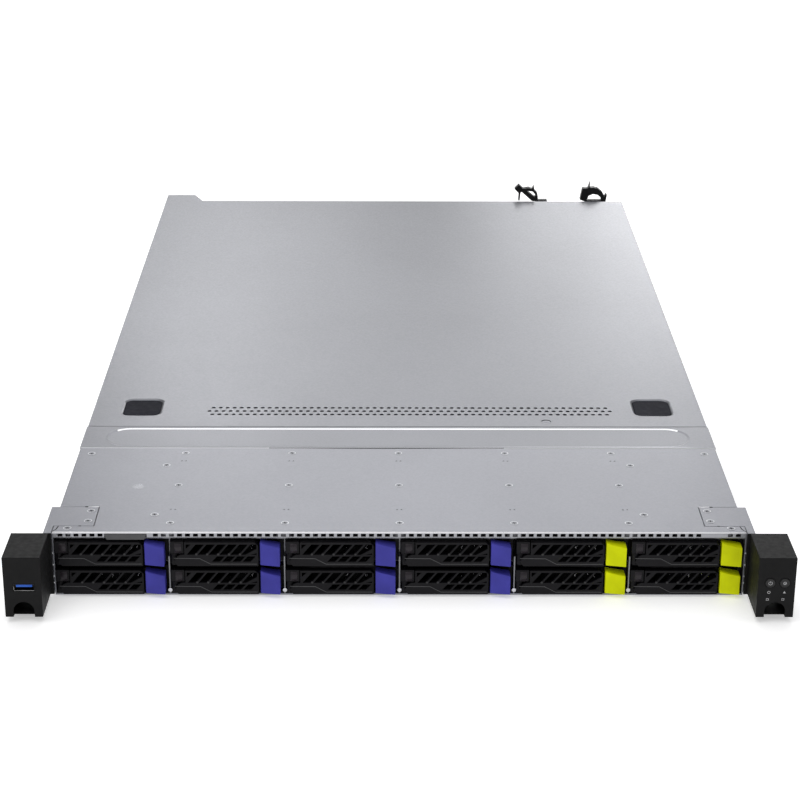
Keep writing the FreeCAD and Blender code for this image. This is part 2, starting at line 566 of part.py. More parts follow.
def ears():
    usb = (f"-{EAR_OUTER} + usb_inset", f"-{EAR_OUTER} + usb_inset")
    usb = wider(usb, "usb_width/2")
    tall = ("usb_low", "usb_low + usb_height")
    ear("left", -1, [box("usb_window", usb, ("-ear_depth", "-ear_depth + ear_skin"), tall)])
    holes = []
    for name, sign in (("power", -1), ("id", 1)):
        x = f"{EAR_OUTER} - button_inset + {sign}*button_spacing/2"
        holes.append(prism(f"{name}_hole", ROUND_SIDES, "button_radius + button_clearance", "ear_skin",
                           (x, "-ear_depth", "button_height"), "y"))
        stem = prism(f"{name}_stem", ROUND_SIDES, "button_radius", "button_length",
                     (x, "-ear_depth - button_proud", "button_height"), "y")
        collar = prism(f"{name}_collar", 6, "button_radius + collar_reach", "ear_skin/2",
                       (x, "-ear_depth + ear_skin + button_clearance", "button_height"), "y")
        node(fuse(f"{name}_cap", [stem, collar]), f"{name}_button")
    ear("right", 1, holes)
    usb = wider(usb, "-usb_clearance")
    tall = wider(tall, "-usb_clearance")
    depth = ("-ear_depth + usb_clearance", "-ear_depth + usb_depth")
    can = box("usb_can", usb, depth, tall)
    mouth = box("usb_mouth", wider(usb, "-usb_skin"), (depth[0], f"{depth[1]} - usb_skin"),
                wider(tall, "-usb_skin"))
    tongue = box("usb_tongue", wider(usb, "-2*usb_skin - usb_clearance"),
                 (f"{depth[0]} + 2*usb_skin", depth[1]),
                 (f"{tall[1]} - 2*usb_skin - tongue_gauge", f"{tall[1]} - 2*usb_skin"))
    node(fuse("usb", [cut("usb_shell", can, [mouth]), tongue]), "usb_port")


def ear_plates():
    """Steel brackets: a plate let into the cover, a cheek beside the chassis and the rack flange."""
    brackets = []
    for side, sign in (("left", -1), ("right", 1)):
        outer = f"({HALF} + plate_overhang)"
        cheek = f"({HALF} + panel_seam)"
        plate = box(f"{side}_plate", sided(sign, CORNER, outer), ("corner_front", "corner_back"),
                    (UNDER, HIGH))
        strip = box(f"{side}_strip", sided(sign, cheek, outer), ("-flange_gauge", "corner_front"),
                    (UNDER, HIGH))
        cheek_plate = box(f"{side}_cheek", sided(sign, cheek, f"{cheek} + plate_gauge"),
                          ("-flange_gauge", "corner_back"), ("floor_gauge", UNDER))
        flange = box(f"{side}_flange", sided(sign, cheek, EAR_OUTER), ("-flange_gauge", "0"),
                     ("floor_gauge", UNDER))
        x = f"{sign}*({EAR_OUTER} - rack_hole_inset)"
        hole = rod(f"{side}_rack_hole", "rack_hole_radius", "flange_gauge",
                   (x, "-flange_gauge", "screw_height"), "y")
        whole = fuse(f"{side}_bracket_blank", [plate, strip, cheek_plate, flange])
        brackets.append(cut(f"{side}_bracket", whole, [hole]))
    node(group("brackets", brackets), "ear_plates")


def info_tag():
    """The pull-out tag: a bevelled grip in the rail's gap, on a thin blade under the cover."""
    grip = new_body("tag_grip")
    low = f"{HIGH} - rail_drop"
    bevel = "(rail_drop/2)"
    top = f"{UNDER} - cover_gap"
    outline = [(f"-{TAG_LEFT} + tag_front", f"{low} - tag_front"),
               (f"-{TAG_RIGHT} - tag_front", f"{low} - tag_front"), (f"-{TAG_RIGHT}", f"{low} + {bevel}"),
               (f"-{TAG_RIGHT}", top), (f"-{TAG_LEFT}", top), (f"-{TAG_LEFT}", f"{low} + {bevel}")]
    shape(grip, "Pad", "grip_block", "XZ_Plane", "-tag_front", "rail_skin", [outline])
    blade = box("tag_blade", (f"-{TAG_LEFT} + tag_front", f"-{TAG_RIGHT} - tag_front"),
                ("rail_skin", "tag_reach"), (f"{top} - tag_gauge", top))
    node(fuse("tag", [grip, blade]), "info_tag")


# Inside -----------------------------------------------------------------------------------------------

def backplane():
    """The board behind the drives, with a connector for each of them."""
    front = CAGE_BACK
    board = box("backplane_board", (f"-{INNER} + board_gauge", f"{INNER} - board_gauge"),
                (front, f"{front} + board_gauge"), ("floor_gauge", CAGE_TOP))
    pieces = [board]
    for line in range(ROWS):
        for column in range(COLUMNS):
            middle = f"({column + 0.5 - COLUMNS / 2})*{BAY}"
            low = f"({TRAY_Z} + {line}*{ROW} + tray_base_gauge + drive_height/2)"
            pieces.append(box(f"connector_{line}_{column}", wider((middle, middle), "connector_width/2"),
                              ("drive_start + drive_length + slide_gap", front),
                              wider((low, low), "connector_height/2")))
    node(fuse("backplane_parts", pieces), "backplane")


def cooling_fans():
    """A row of fans: square frames with round bores, each with a hub on a blade that crosses it."""
    fans = []
    back = f"{FAN_START} + fan_depth"
    blade = (f"{FAN_START} + blade_start", f"{FAN_START} + blade_start + blade_depth")
    middle = "(floor_gauge + fan_size/2)"
    for number in range(FANS):
        x = f"({number - FANS // 2}*{FAN_PITCH})"
        frame = box(f"fan_frame_{number}", wider((x, x), "fan_size/2"), (FAN_START, back),
                    ("floor_gauge", "floor_gauge + fan_size"))
        bore = prism(f"fan_bore_{number}", ROUND_SIDES, "fan_bore", "fan_depth", (x, FAN_START, middle), "y")
        pieces = [cut(f"fan_ring_{number}", frame, [bore]),
                  prism(f"fan_hub_{number}", 6, "hub_radius", "fan_depth", (x, FAN_START, middle), "y"),
                  box(f"blade_across_{number}", wider((x, x), "fan_bore"), blade,
                      wider((middle, middle), "fin_gauge/2"))]
        fans.append(fuse(f"fan_{number}", pieces))
    node(group("fans", fans), "cooling_fans")


def processor_x(number):
    """The middle of processor 0 or 1 on the board, which spans the space left of the power supplies."""
    return f"(-{INNER} + pcb_inset + {number / 2 + 0.25}*{BOARD_WIDTH})"


def motherboard():
    """The main board on its standoffs, with processors, memory and the connectors at the rear."""
    back = "(body_length - pcb_back_gap)"
    low = "floor_gauge + standoff_height"
    pieces = [box("main_board", (f"-{INNER} + pcb_inset/2", BOARD_RIGHT), (BOARD_FRONT, back),
                  (low, BOARD_TOP))]
    for number in range(6):
        x = f"-{INNER} + pcb_inset + {number % 2}*({BOARD_WIDTH} - pcb_inset)"
        y = f"{BOARD_FRONT} + pcb_inset + ({back} - {BOARD_FRONT} - 2*pcb_inset)*{number // 2}/2"
        pieces.append(prism(f"standoff_{number}", 6, "standoff_radius", "standoff_height",
                            (x, y, "floor_gauge")))
    middle_y = f"({BOARD_FRONT} + cpu_back)"
    for number in range(2):
        x = processor_x(number)
        pieces.append(box(f"processor_{number}", wider((x, x), "cpu_width/2"),
                          wider((middle_y, middle_y), "cpu_width/2"),
                          (BOARD_TOP, f"{BOARD_TOP} + cpu_height")))
        for sign in (-1, 1):
            for stick in range(MEMORY_STICKS):
                place = f"({x} + {sign}*(sink_width/2 + memory_clear + {stick}*memory_pitch))"
                pieces.append(box(f"memory_{number}_{sign + 1}_{stick}",
                                  wider((place, place), "memory_gauge/2"),
                                  wider((middle_y, middle_y), "memory_length/2"),
                                  (BOARD_TOP, f"{BOARD_TOP} + memory_height")))
    for number, (across, tall) in enumerate(io_ports()):
        pieces.append(box(f"port_{number}", across, (f"{back} - port_depth", "body_length"), tall))
    board = fuse("board_parts", pieces)
    covers = [box(f"slot_plate_{number}", across, ("body_length - wall_gauge", "body_length"), tall)
              for number, (across, tall) in enumerate(slot_plates())]
    node(group("board_group", [board, *covers]), "motherboard")


def heatsinks():
    """A finned block on each processor."""
    blocks = []
    low = f"({BOARD_TOP} + cpu_height)"
    middle_y = f"({BOARD_FRONT} + cpu_back)"
    along = wider((middle_y, middle_y), "sink_length/2")
    for number in range(2):
        x = processor_x(number)
        pieces = [box(f"sink_base_{number}", wider((x, x), "sink_width/2"), along,
                      (low, f"{low} + sink_base"))]
        for fin in range(FINS):
            place = f"({x} + {fin - FINS // 2}*fin_pitch)"
            pieces.append(box(f"fin_{number}_{fin}", wider((place, place), "fin_gauge/2"), along,
                              (f"{low} + sink_base", f"{UNDER} - sink_top_gap")))
        blocks.append(fuse(f"sink_{number}", pieces))
    node(group("sinks", blocks), "heatsinks")


# Power supplies ---------------------------------------------------------------------------------------

def handle_middle(number):
    return f"({psu_left_edge(number)} + psu_width/2 + handle_offset)"


def power_supply(number, side):
    """A slim case with a mains inlet, a loop handle and the pocket of its release catch."""
    left = psu_left_edge(number)
    back = "body_length"
    case = box(f"{side}_case", (left, f"{left} + psu_width"), (f"{back} - psu_length", back),
               (PSU_Z, f"{PSU_Z} + psu_height"))
    end = f"({left} + psu_width - 2*psu_gap)"
    centre = f"({PSU_Z} + psu_height/2)"
    inlet = box(f"{side}_inlet", (f"{end} - inlet_width", end), (f"{back} - inlet_depth", back),
                wider((centre, centre), "inlet_height/2"))
    catch = f"({handle_middle(number)} - catch_offset)"
    pocket = box(f"{side}_catch_pocket",
                 (f"{catch} - slide_gap", f"{catch} + catch_gauge + catch_travel + slide_gap"),
                 (f"{back} - catch_root - slide_gap", back), catch_heights("slide_gap"))
    handle = new_body(f"{side}_handle")
    outer = [(back, "handle_low"), (f"{back} + handle_reach - handle_corner", "handle_low"),
             (f"{back} + handle_reach", "handle_low + handle_corner"),
             (f"{back} + handle_reach", "handle_high - handle_corner"),
             (f"{back} + handle_reach - handle_corner", "handle_high"), (back, "handle_high")]
    inner = rectangle((back, f"{back} + handle_reach - handle_bar"),
                      ("handle_low + handle_bar", "handle_high - handle_bar"))
    middle = handle_middle(number)
    across = wider((middle, middle), "handle_width/2")
    shape(handle, "Pad", f"{side}_loop", "YZ_Plane", *across, [outer])
    shape(handle, "Pocket", f"{side}_finger_gap", "YZ_Plane", *across, [inner])
    node(fuse(f"{side}_supply", [cut(f"{side}_pierced_case", case, [inlet, pocket]), handle]), f"psu_{side}")
    tab = box(f"{side}_catch", (catch, f"{catch} + catch_gauge"),
              (f"{back} - catch_root", f"{back} + catch_reach"), catch_heights("0"))
    node(group(f"{side}_catch_part", [tab]), f"psu_catch_{side}")


def catch_heights(grow):
    middle = f"({PSU_Z} + psu_height/2)"
    return wider((middle, middle), f"(catch_height/2 + {grow})")


def cable_strap(number, side):
    """A plastic cord strap: its collar round the handle's upper arm, and its band with buckle and tail."""
    x = handle_middle(number)
    along = ("body_length + strap_front", "body_length + strap_front + strap_width")
    collar = box(f"{side}_collar", wider((x, x), "(handle_width/2 + strap_gauge)"), along,
                 ("handle_high - handle_bar - strap_gauge", "handle_high + strap_gauge"))
    arm = box(f"{side}_arm_way", wider((x, x), "handle_width/2"), along,
              ("handle_high - handle_bar", "handle_high"))
    band = new_body(f"{side}_band")
    outlines = [[(f"{x} + {across}", f"handle_high + {tall}") for across, tall in corners]
                for corners in STRAPS[side]]
    shape(band, "Pad", f"{side}_band_loop", "XZ_Plane", *along, outlines)
    node(cut(f"{side}_strap", fuse(f"{side}_strap_blank", [collar, band]), [arm]), f"cable_strap_{side}")


chassis_pan()
drive_cage()
front_cover()
bridge_cover()
rear_cover()
cover_fittings()
ears()
ear_plates()
info_tag()
drive_bays()
backplane()
cooling_fans()
motherboard()
heatsinks()
for supply, name in enumerate(("left", "right")):
    power_supply(supply, name)
    cable_strap(supply, name)

document.recompute()
for item in document.Objects:
    if "Invalid" in item.State or "Error" in item.State:
        raise RuntimeError(f"{item.Label} did not recompute: {item.State}")
for piece in nodes:
    if piece.Shape.isNull() or not piece.Shape.isValid():
        raise RuntimeError(f"{piece.Label} has no valid shape")

os.makedirs("parts", exist_ok=True)
for piece in nodes:
    piece.Shape.exportStep(f"parts/{piece.Label}.step")
print(f"{len(nodes)} nodes written")
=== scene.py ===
"""Looks of a one-unit rack server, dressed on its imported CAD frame.

Shapes are drawn in millimetres in the server's own frame (x = 0 in the middle, y = 0 at the chassis front,
z = 0 under its floor) and are turned into the row frame, in metres, when a piece is finished.
"""

import json
import math
import random

import bmesh
import bpy
from mathutils import Matrix, Vector


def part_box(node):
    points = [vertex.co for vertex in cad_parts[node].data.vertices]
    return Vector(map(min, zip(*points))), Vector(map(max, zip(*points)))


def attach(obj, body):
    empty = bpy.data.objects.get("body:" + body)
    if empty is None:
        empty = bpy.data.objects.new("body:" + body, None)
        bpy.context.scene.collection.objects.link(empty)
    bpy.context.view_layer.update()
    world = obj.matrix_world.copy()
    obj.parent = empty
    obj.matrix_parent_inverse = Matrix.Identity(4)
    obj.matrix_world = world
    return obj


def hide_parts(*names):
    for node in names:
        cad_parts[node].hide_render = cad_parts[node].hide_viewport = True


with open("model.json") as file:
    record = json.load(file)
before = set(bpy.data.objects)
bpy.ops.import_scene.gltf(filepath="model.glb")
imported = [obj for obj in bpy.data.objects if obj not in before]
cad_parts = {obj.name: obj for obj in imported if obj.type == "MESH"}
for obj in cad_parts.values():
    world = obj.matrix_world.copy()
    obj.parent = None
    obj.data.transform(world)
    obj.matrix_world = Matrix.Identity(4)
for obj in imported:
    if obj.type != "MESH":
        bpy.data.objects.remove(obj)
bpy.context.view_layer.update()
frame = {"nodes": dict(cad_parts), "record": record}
NODES = frame["nodes"]

MM = 0.001
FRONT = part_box("chassis_pan")[0].y
TO_ROW = Matrix.Translation((0, FRONT, 0)) @ Matrix.Scale(MM, 4)
TO_SERVER = TO_ROW.inverted()


def limits(node):
    """A CAD node's lowest and highest corners, in millimetres in the server's frame."""
    low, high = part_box(node)
    return TO_SERVER @ low, TO_SERVER @ high


TOP = limits("front_cover")[1].z
LENGTH = limits("chassis_pan")[1].y
HALF_WIDTH = limits("front_cover")[1].x
BAY = 72.0
EAR_FRONT = limits("ear_left")[0].y
COLUMNS = 6
DIVIDERS = [(number - COLUMNS // 2) * BAY for number in range(1, COLUMNS)]
SLOTS_PER_WIDTH = 86.94
SLOT_PITCH = 2 * HALF_WIDTH / SLOTS_PER_WIDTH
BRIDGE_FRONT, BRIDGE_BACK = limits("bridge_cover")[0].y, limits("bridge_cover")[1].y
BRIDGE_MIDDLE = (BRIDGE_FRONT + BRIDGE_BACK) / 2


# Camera, floor and light ------------------------------------------------------------------------------

CAMERA_LENS, CAMERA_SENSOR = 92.85, 36
CAMERA_PLACE = (-0.01096, FRONT - 1.16112, 0.59673)
CAMERA_TURN = (21.81, 0.53, 0.27)


def add_camera():
    """The camera, turned by its pitch down, its yaw and its roll in degrees."""
    data = bpy.data.cameras.new("camera")
    data.lens = CAMERA_LENS
    data.sensor_width = CAMERA_SENSOR
    camera = bpy.data.objects.new("camera", data)
    bpy.context.scene.collection.objects.link(camera)
    pitch, yaw, roll = (math.radians(angle) for angle in CAMERA_TURN)
    turn = (Matrix.Rotation(-yaw, 4, "Z") @ Matrix.Rotation(math.pi / 2 - pitch, 4, "X")
            @ Matrix.Rotation(roll, 4, "Z"))
    camera.matrix_world = Matrix.Translation(CAMERA_PLACE) @ turn
    bpy.context.scene.camera = camera


FLOOR_REACH, FLOOR_LEVEL, FLOOR_GLOW = 12, -0.0005, 0.4


def add_floor():
    """A wide white floor, a little under the server."""
    mesh = bpy.data.meshes.new("floor")
    corners = [(x * FLOOR_REACH, y * FLOOR_REACH, FLOOR_LEVEL)
               for x, y in ((-1, -1), (1, -1), (1, 1), (-1, 1))]
    mesh.from_pydata(corners, [], [(0, 1, 2, 3)])
    floor = bpy.data.objects.new("floor", mesh)
    bpy.context.scene.collection.objects.link(floor)
    material = bpy.data.materials.new("floor_white")
    material.use_nodes = True
    shader = material.node_tree.nodes["Principled BSDF"]
    shader.inputs["Base Color"].default_value = (0.93, 0.93, 0.935, 1)
    shader.inputs["Roughness"].default_value = 0.85
    shader.inputs["Emission Color"].default_value = (1, 1, 1, 1)
    shader.inputs["Emission Strength"].default_value = FLOOR_GLOW
    mesh.materials.append(material)


def add_light(name, place, target, size, power):
    data = bpy.data.lights.new(name, "AREA")
    data.shape = "RECTANGLE"
    data.size, data.size_y = size
    data.energy = power
    light = bpy.data.objects.new(name, data)
    light.visible_camera = False
    bpy.context.scene.collection.objects.link(light)
    aim = (Vector(target) - Vector(place)).to_track_quat("-Z", "Y").to_matrix().to_4x4()
    light.matrix_world = Matrix.Translation(place) @ aim


STUDIO_AIM = (0, 0.1, 0)
WORLD_LIGHT = 0.55
PANEL_DISTANCE, PANEL_SIZE = 3.0, (0.36, 0.4)
# Light panels on an arc behind the server: name, azimuth and elevation in degrees, and power in watts.
REAR_PANELS = (
    ("low_centre_right", 8, 14, 1.96),
    ("low_right", 14, 14, 3.47),
    ("middle_inner_left", -10, 24, 2.6),
    ("middle_centre_left", -4, 21, 1.19),
    ("high_centre", 2, 29, 1.66),
    ("high_right", 14, 29, 0.9),
)


def add_studio():
    world = bpy.data.worlds.new("studio")
    bpy.context.scene.world = world
    world.use_nodes = True
    background = world.node_tree.nodes["Background"]
    background.inputs["Color"].default_value = (1, 1, 1, 1)
    background.inputs["Strength"].default_value = WORLD_LIGHT
    add_light("high_rear", (0.0, 1.82, 2.21), STUDIO_AIM, (1.6, 1.2), 14.3)
    add_light("key", (-0.9, -1.0, 2.3), (0, 0, 0), (1.8, 1.8), 11)
    add_light("top", (0, 0.2, 2.6), (0, 0, 0), (2.4, 2.0), 13)
    for name, azimuth, elevation, power in REAR_PANELS:
        turn, rise = math.radians(azimuth), math.radians(elevation)
        reach = PANEL_DISTANCE * math.cos(rise)
        place = (reach * math.sin(turn), STUDIO_AIM[1] + reach * math.cos(turn),
                 PANEL_DISTANCE * math.sin(rise))
        add_light(f"rear_{name}", place, STUDIO_AIM, PANEL_SIZE, power)
    bpy.context.scene.view_settings.view_transform = "Standard"


# Materials --------------------------------------------------------------------------------------------

NOISE_MIDDLE = (0.3, 0.7)


class Finish:
    """A node material that is built up step by step around one Principled shader."""

    def __init__(self, name, colour, roughness, metallic=0.0):
        self.material = bpy.data.materials.new(name)
        self.material.use_nodes = True
        self.tree = self.material.node_tree
        self.shader = self.tree.nodes["Principled BSDF"]
        self.colour = colour
        self.shader.inputs["Base Color"].default_value = (*colour, 1)
        self.shader.inputs["Roughness"].default_value = roughness
        self.shader.inputs["Metallic"].default_value = metallic
        self.place = self.tree.nodes.new("ShaderNodeTexCoord").outputs["Object"]
        self.bump = None

    def noise(self, scale, detail=3.0, stretch=(1, 1, 1)):
        mapping = self.tree.nodes.new("ShaderNodeMapping")
        mapping.inputs["Scale"].default_value = stretch
        self.tree.links.new(self.place, mapping.inputs["Vector"])
        texture = self.tree.nodes.new("ShaderNodeTexNoise")
        texture.inputs["Scale"].default_value = scale
        texture.inputs["Detail"].default_value = detail
        self.tree.links.new(mapping.outputs["Vector"], texture.inputs["Vector"])
        return texture.outputs["Fac"]

    def spread(self, value, low, high):
        """Maps the middle of a noise onto a range."""
        ramp = self.tree.nodes.new("ShaderNodeMapRange")
        ramp.inputs["From Min"].default_value, ramp.inputs["From Max"].default_value = NOISE_MIDDLE
        ramp.inputs["To Min"].default_value = low
        ramp.inputs["To Max"].default_value = high
        self.tree.links.new(value, ramp.inputs["Value"])
        return ramp.outputs["Result"]

    def tint(self, value, low, high):
        """Lets the colour drift between a darker and a lighter tone."""
        mix = self.tree.nodes.new("ShaderNodeMix")
        mix.data_type = "RGBA"
        mix.inputs["A"].default_value = (*[c * low for c in self.colour], 1)
        mix.inputs["B"].default_value = (*[min(1, c * high) for c in self.colour], 1)
        self.tree.links.new(self.spread(value, 0, 1), mix.inputs["Factor"])
        self.tree.links.new(mix.outputs["Result"], self.shader.inputs["Base Color"])
        return self

    def gloss(self, value, low, high):
        """Lets the roughness drift between two values."""
        self.tree.links.new(self.spread(value, low, high), self.shader.inputs["Roughness"])
        return self

    def relief(self, value, depth):
        """Bump of the given depth in metres."""
        bump = self.tree.nodes.new("ShaderNodeBump")
        bump.inputs["Strength"].default_value = 1.0
        bump.inputs["Distance"].default_value = depth
        self.tree.links.new(value, bump.inputs["Height"])
        if self.bump:
            self.tree.links.new(self.bump, bump.inputs["Normal"])
        self.bump = bump.outputs["Normal"]
        self.tree.links.new(self.bump, self.shader.inputs["Normal"])
        return self


def sheet_steel(name, colour, roughness, metallic=0.75):
    """Zinc-plated sheet: a fine crystalline speckle under slow cloudy changes of tone and gloss."""
    finish = Finish(name, colour, roughness, metallic)
    finish.tint(finish.noise(11, 2), 0.965, 1.03)
    finish.gloss(finish.noise(700, 4), roughness - 0.05, roughness + 0.06)
    finish.relief(finish.noise(2600, 2), 0.000004)
    finish.relief(finish.noise(3, 1), 0.0004)
    return finish.material


def moulded(name, colour, roughness, grain=0.00002, sheen=0.22):
    """Moulded plastic with a spark-eroded texture and slight changes of gloss."""
    finish = Finish(name, colour, roughness)
    finish.shader.inputs["Specular IOR Level"].default_value = sheen
    finish.tint(finish.noise(60, 3), 0.88, 1.14)
    finish.gloss(finish.noise(300, 3), roughness - 0.06, roughness + 0.08)
    finish.relief(finish.noise(3800, 2), grain)
    return finish.material


def circuit_board(name):
    """Green lacquer over faint tracks."""
    finish = Finish(name, (0.012, 0.06, 0.03), 0.35)
    finish.tint(finish.noise(90, 5), 0.6, 1.6)
    finish.relief(finish.noise(500, 3), 0.00004)
    return finish.material


MATERIALS = {
    "zinc_steel": sheet_steel("zinc_steel_finish", (0.217, 0.221, 0.244), 0.36),
    "cage_steel": sheet_steel("cage_steel_finish", (0.215, 0.216, 0.229), 0.42),
    "cover_steel": sheet_steel("cover_steel_finish", (0.183, 0.187, 0.2055), 0.34),
    "ear_plastic": moulded("ear_plastic_finish", (0.0072, 0.0072, 0.0075), 0.55, sheen=0.12),
    "connector_metal": sheet_steel("connector_metal_finish", (0.5, 0.5, 0.5), 0.3, 1.0),
    "board_green": circuit_board("board_green_finish"),
    "fan_plastic": moulded("fan_plastic_finish", (0.02, 0.02, 0.02), 0.5),
    "fin_aluminium": sheet_steel("fin_aluminium_finish", (0.75, 0.75, 0.76), 0.35, 1.0),
    "dark_fitting": moulded("dark_fitting_finish", (0.016, 0.017, 0.022), 0.42),
    "tag_plastic": moulded("tag_plastic_finish", (0.085, 0.086, 0.09), 0.5),
    "button_plastic": moulded("button_plastic_finish", (0.02, 0.02, 0.02), 0.4),
    "drive_metal": sheet_steel("drive_metal_finish", (0.12, 0.12, 0.125), 0.4, 0.8),
    "bezel_plastic": moulded("bezel_plastic_finish", (0.0055, 0.005, 0.0065), 0.45, sheen=0.14),
    "latch_blue": moulded("latch_blue_finish", (0.048, 0.046, 0.31), 0.5, sheen=0.14),
    "latch_green": moulded("latch_green_finish", (0.63, 0.69, 0.001), 0.5, sheen=0.08),
    "psu_steel": sheet_steel("psu_steel_finish", (0.30, 0.30, 0.31), 0.42, 0.6),
    "strap_plastic": moulded("strap_plastic_finish", (0.009, 0.009, 0.01), 0.42),
    "catch_plastic": moulded("catch_plastic_finish", (0.03, 0.12, 0.09), 0.45),
}
SOCKET_BLUE = moulded("socket_blue_finish", (0.03, 0.12, 0.55), 0.4)
# Near-black for painted shade: laid on recess floors, seams, gaps, holes and faces that lie in shadow.
PAINTED_SHADE = moulded("painted_shade_finish", (0.004, 0.004, 0.004), 0.8)
PRINT_WHITE = moulded("print_white_finish", (0.42, 0.42, 0.43), 0.6, 0.000004)
PAD_BLACK = moulded("pad_black_finish", (0.019, 0.0195, 0.026), 0.6, sheen=0.03)
# Grey for a painted highlight along the levers' edges.
EDGE_HIGHLIGHT_GREY = moulded("edge_highlight_grey_finish", (0.07, 0.07, 0.072), 0.4)
# Bright steel for painted highlights on edges, rivets and small screws.
PAINTED_HIGHLIGHT = sheet_steel("painted_highlight_finish", (0.74, 0.74, 0.765), 0.32, 0.8)
# A lighter copy of the steel for painted highlights on the screws' pressed rims and the bridge panel's front
# edge.
RIM_HIGHLIGHT_STEEL = sheet_steel("rim_highlight_steel_finish", (0.52, 0.525, 0.55), 0.36, 0.7)
PLUG_STEEL = sheet_steel("plug_steel_finish", (0.245, 0.25, 0.27), 0.3)
DARK_SHELL = sheet_steel("dark_shell_finish", (0.02, 0.02, 0.021), 0.35, 0.8)
# A lighter copy of the steel for the front rail: painted light on its front face.
RAIL_STEEL_PAINTED_LIGHT = sheet_steel("rail_steel_painted_light_finish", (0.33, 0.335, 0.357), 0.33)
SOFT_BLACK = moulded("soft_black_finish", (0.03, 0.029, 0.031), 0.4)
LIGHT_PIPE = moulded("light_pipe_finish", (0.022, 0.018, 0.022), 0.3)
# White for painted glints on the drives' faces behind the levers.
PAINTED_GLINT_WHITE = moulded("painted_glint_white_finish", (0.8, 0.8, 0.82), 0.4)
SLOTS = {item["node"]: item["material_slot"] for item in frame["record"]["subparts"]}
BODIES = {name: body for body, names in frame["record"]["behaviour"]["bodies"].items() for name in names}


# Building pieces --------------------------------------------------------------------------------------

SOFT_TURN, SHARP_TURN = 1, 32
BROAD = 6


def sharpen(bm):
    """Marks the edges that turn far, and those where a broad flat face meets a narrow rounded one.

    Turns are in degrees, and a face is broad if it has BROAD times its neighbour's area.
    """
    bm.normal_update()
    areas = {face: face.calc_area() for face in bm.faces}
    for edge in bm.edges:
        if len(edge.link_faces) == 2:
            turn = math.degrees(edge.calc_face_angle(0))
            narrow, broad = sorted(areas[face] for face in edge.link_faces)
            edge.smooth = turn < SOFT_TURN or (turn < SHARP_TURN and broad < BROAD * narrow)


def finish_piece(name, bm, material, body, replaced=None):
    """Turns a mesh in millimetres into a shaded piece that rides on a body."""
    bmesh.ops.recalc_face_normals(bm, faces=bm.faces)
    sharpen(bm)
    bm.transform(TO_ROW)
    mesh = bpy.data.meshes.new(name)
    bm.to_mesh(mesh)
    bm.free()
    for face in mesh.polygons:
        face.use_smooth = True
    mesh.materials.append(material)
    piece = bpy.data.objects.new(name, mesh)
    bpy.context.scene.collection.objects.link(piece)
    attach(piece, body)
    if replaced:
        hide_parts(replaced)
    return piece


WELD, FLAT_TURN = 0.0005, 0.5


def from_cad(node):
    """A copy of a CAD node's mesh in millimetres, welded, with its flat faces joined up."""
    bm = bmesh.new()
    bm.from_mesh(NODES[node].data)
    bm.transform(TO_SERVER)
    bmesh.ops.remove_doubles(bm, verts=bm.verts, dist=WELD)
    bmesh.ops.dissolve_limit(bm, angle_limit=math.radians(FLAT_TURN), verts=bm.verts,
                             edges=bm.edges)
    return bm


def soften(bm, width, segments=2, least=25):
    """Rounds every edge that turns more than a few degrees."""
    bm.normal_update()
    edges = [edge for edge in bm.edges
             if edge.is_manifold and edge.calc_face_angle(0) > math.radians(least)]
    bmesh.ops.bevel(bm, geom=edges, offset=width, segments=segments, profile=0.5, affect="EDGES",
                    clamp_overlap=True)
    return bm


def rounded(node, width, segments=2, material=None):
    """A CAD node's shape with its edges rounded, which stands in for it."""
    slot = SLOTS[node]
    return finish_piece(node + "_look", soften(from_cad(node), width, segments),
                        material or MATERIALS[slot], BODIES[node], node)


def paint(piece, material, chosen):
    """Gives the faces whose centres, in millimetres, pass a test another material."""
    piece.data.materials.append(material)
    index = len(piece.data.materials) - 1
    for face in piece.data.polygons:
        if chosen(TO_SERVER @ face.center):
            face.material_index = index


def circle(x, y, radius, count=24, start=0.0):
    return [(x + radius * math.cos(start + math.tau * step / count),
             y + radius * math.sin(start + math.tau * step / count)) for step in range(count)]


def rounded_rectangle(x, y, corner, steps=6):
    """Corners of a rectangle between two x and two y values, each corner an arc."""
    points = []
    for cx, cy, start in ((x[1] - corner, y[1] - corner, 0), (x[0] + corner, y[1] - corner, 90),
                          (x[0] + corner, y[0] + corner, 180), (x[1] - corner, y[0] + corner, 270)):
        for step in range(steps + 1):
            angle = math.radians(start + 90 * step / steps)
            points.append((cx + corner * math.cos(angle), cy + corner * math.sin(angle)))
    return points


def ring(bm, points, place):
    """A closed loop of new vertices and edges; place turns a plane point into a 3-D one."""
    verts = [bm.verts.new(place(*point)) for point in points]
    edges = [bm.edges.new((vert, verts[(index + 1) % len(verts)])) for index, vert in enumerate(verts)]
    return verts, edges


def bridge(bm, first, second):
    for index, vert in enumerate(first):
        follower = (index + 1) % len(first)
        bm.faces.new((vert, first[follower], second[follower], second[index]))


def bridge_all(bm, rings):
    for first, second in zip(rings, rings[1:]):
        bridge(bm, first, second)


def flat(z):
    return lambda x, y: (x, y, z)


def upright(y):
    """Points drawn as seen from the front, at a depth y."""
    return lambda x, z: (x, y, z)


def sideways(x):
    return lambda y, z: (x, y, z)


def walls(bm, outlines, low, high, plane=flat):
    """Walls between two levels along closed outlines, and the edges at their tops and their feet."""
    tops, bottoms = [], []
    for points in outlines:
        top, top_edges = ring(bm, points, plane(high))
        bottom, bottom_edges = ring(bm, points, plane(low))
        bridge(bm, top, bottom)
        tops += top_edges
        bottoms += bottom_edges
    return tops, bottoms


def slab(bm, outline, low, high, holes=(), plane=flat):
    """A plate between two levels with any number of holes through it."""
    for edges in walls(bm, (outline, *holes), low, high, plane):
        bmesh.ops.triangle_fill(bm, use_beauty=True, use_dissolve=False, edges=edges)
    return bm


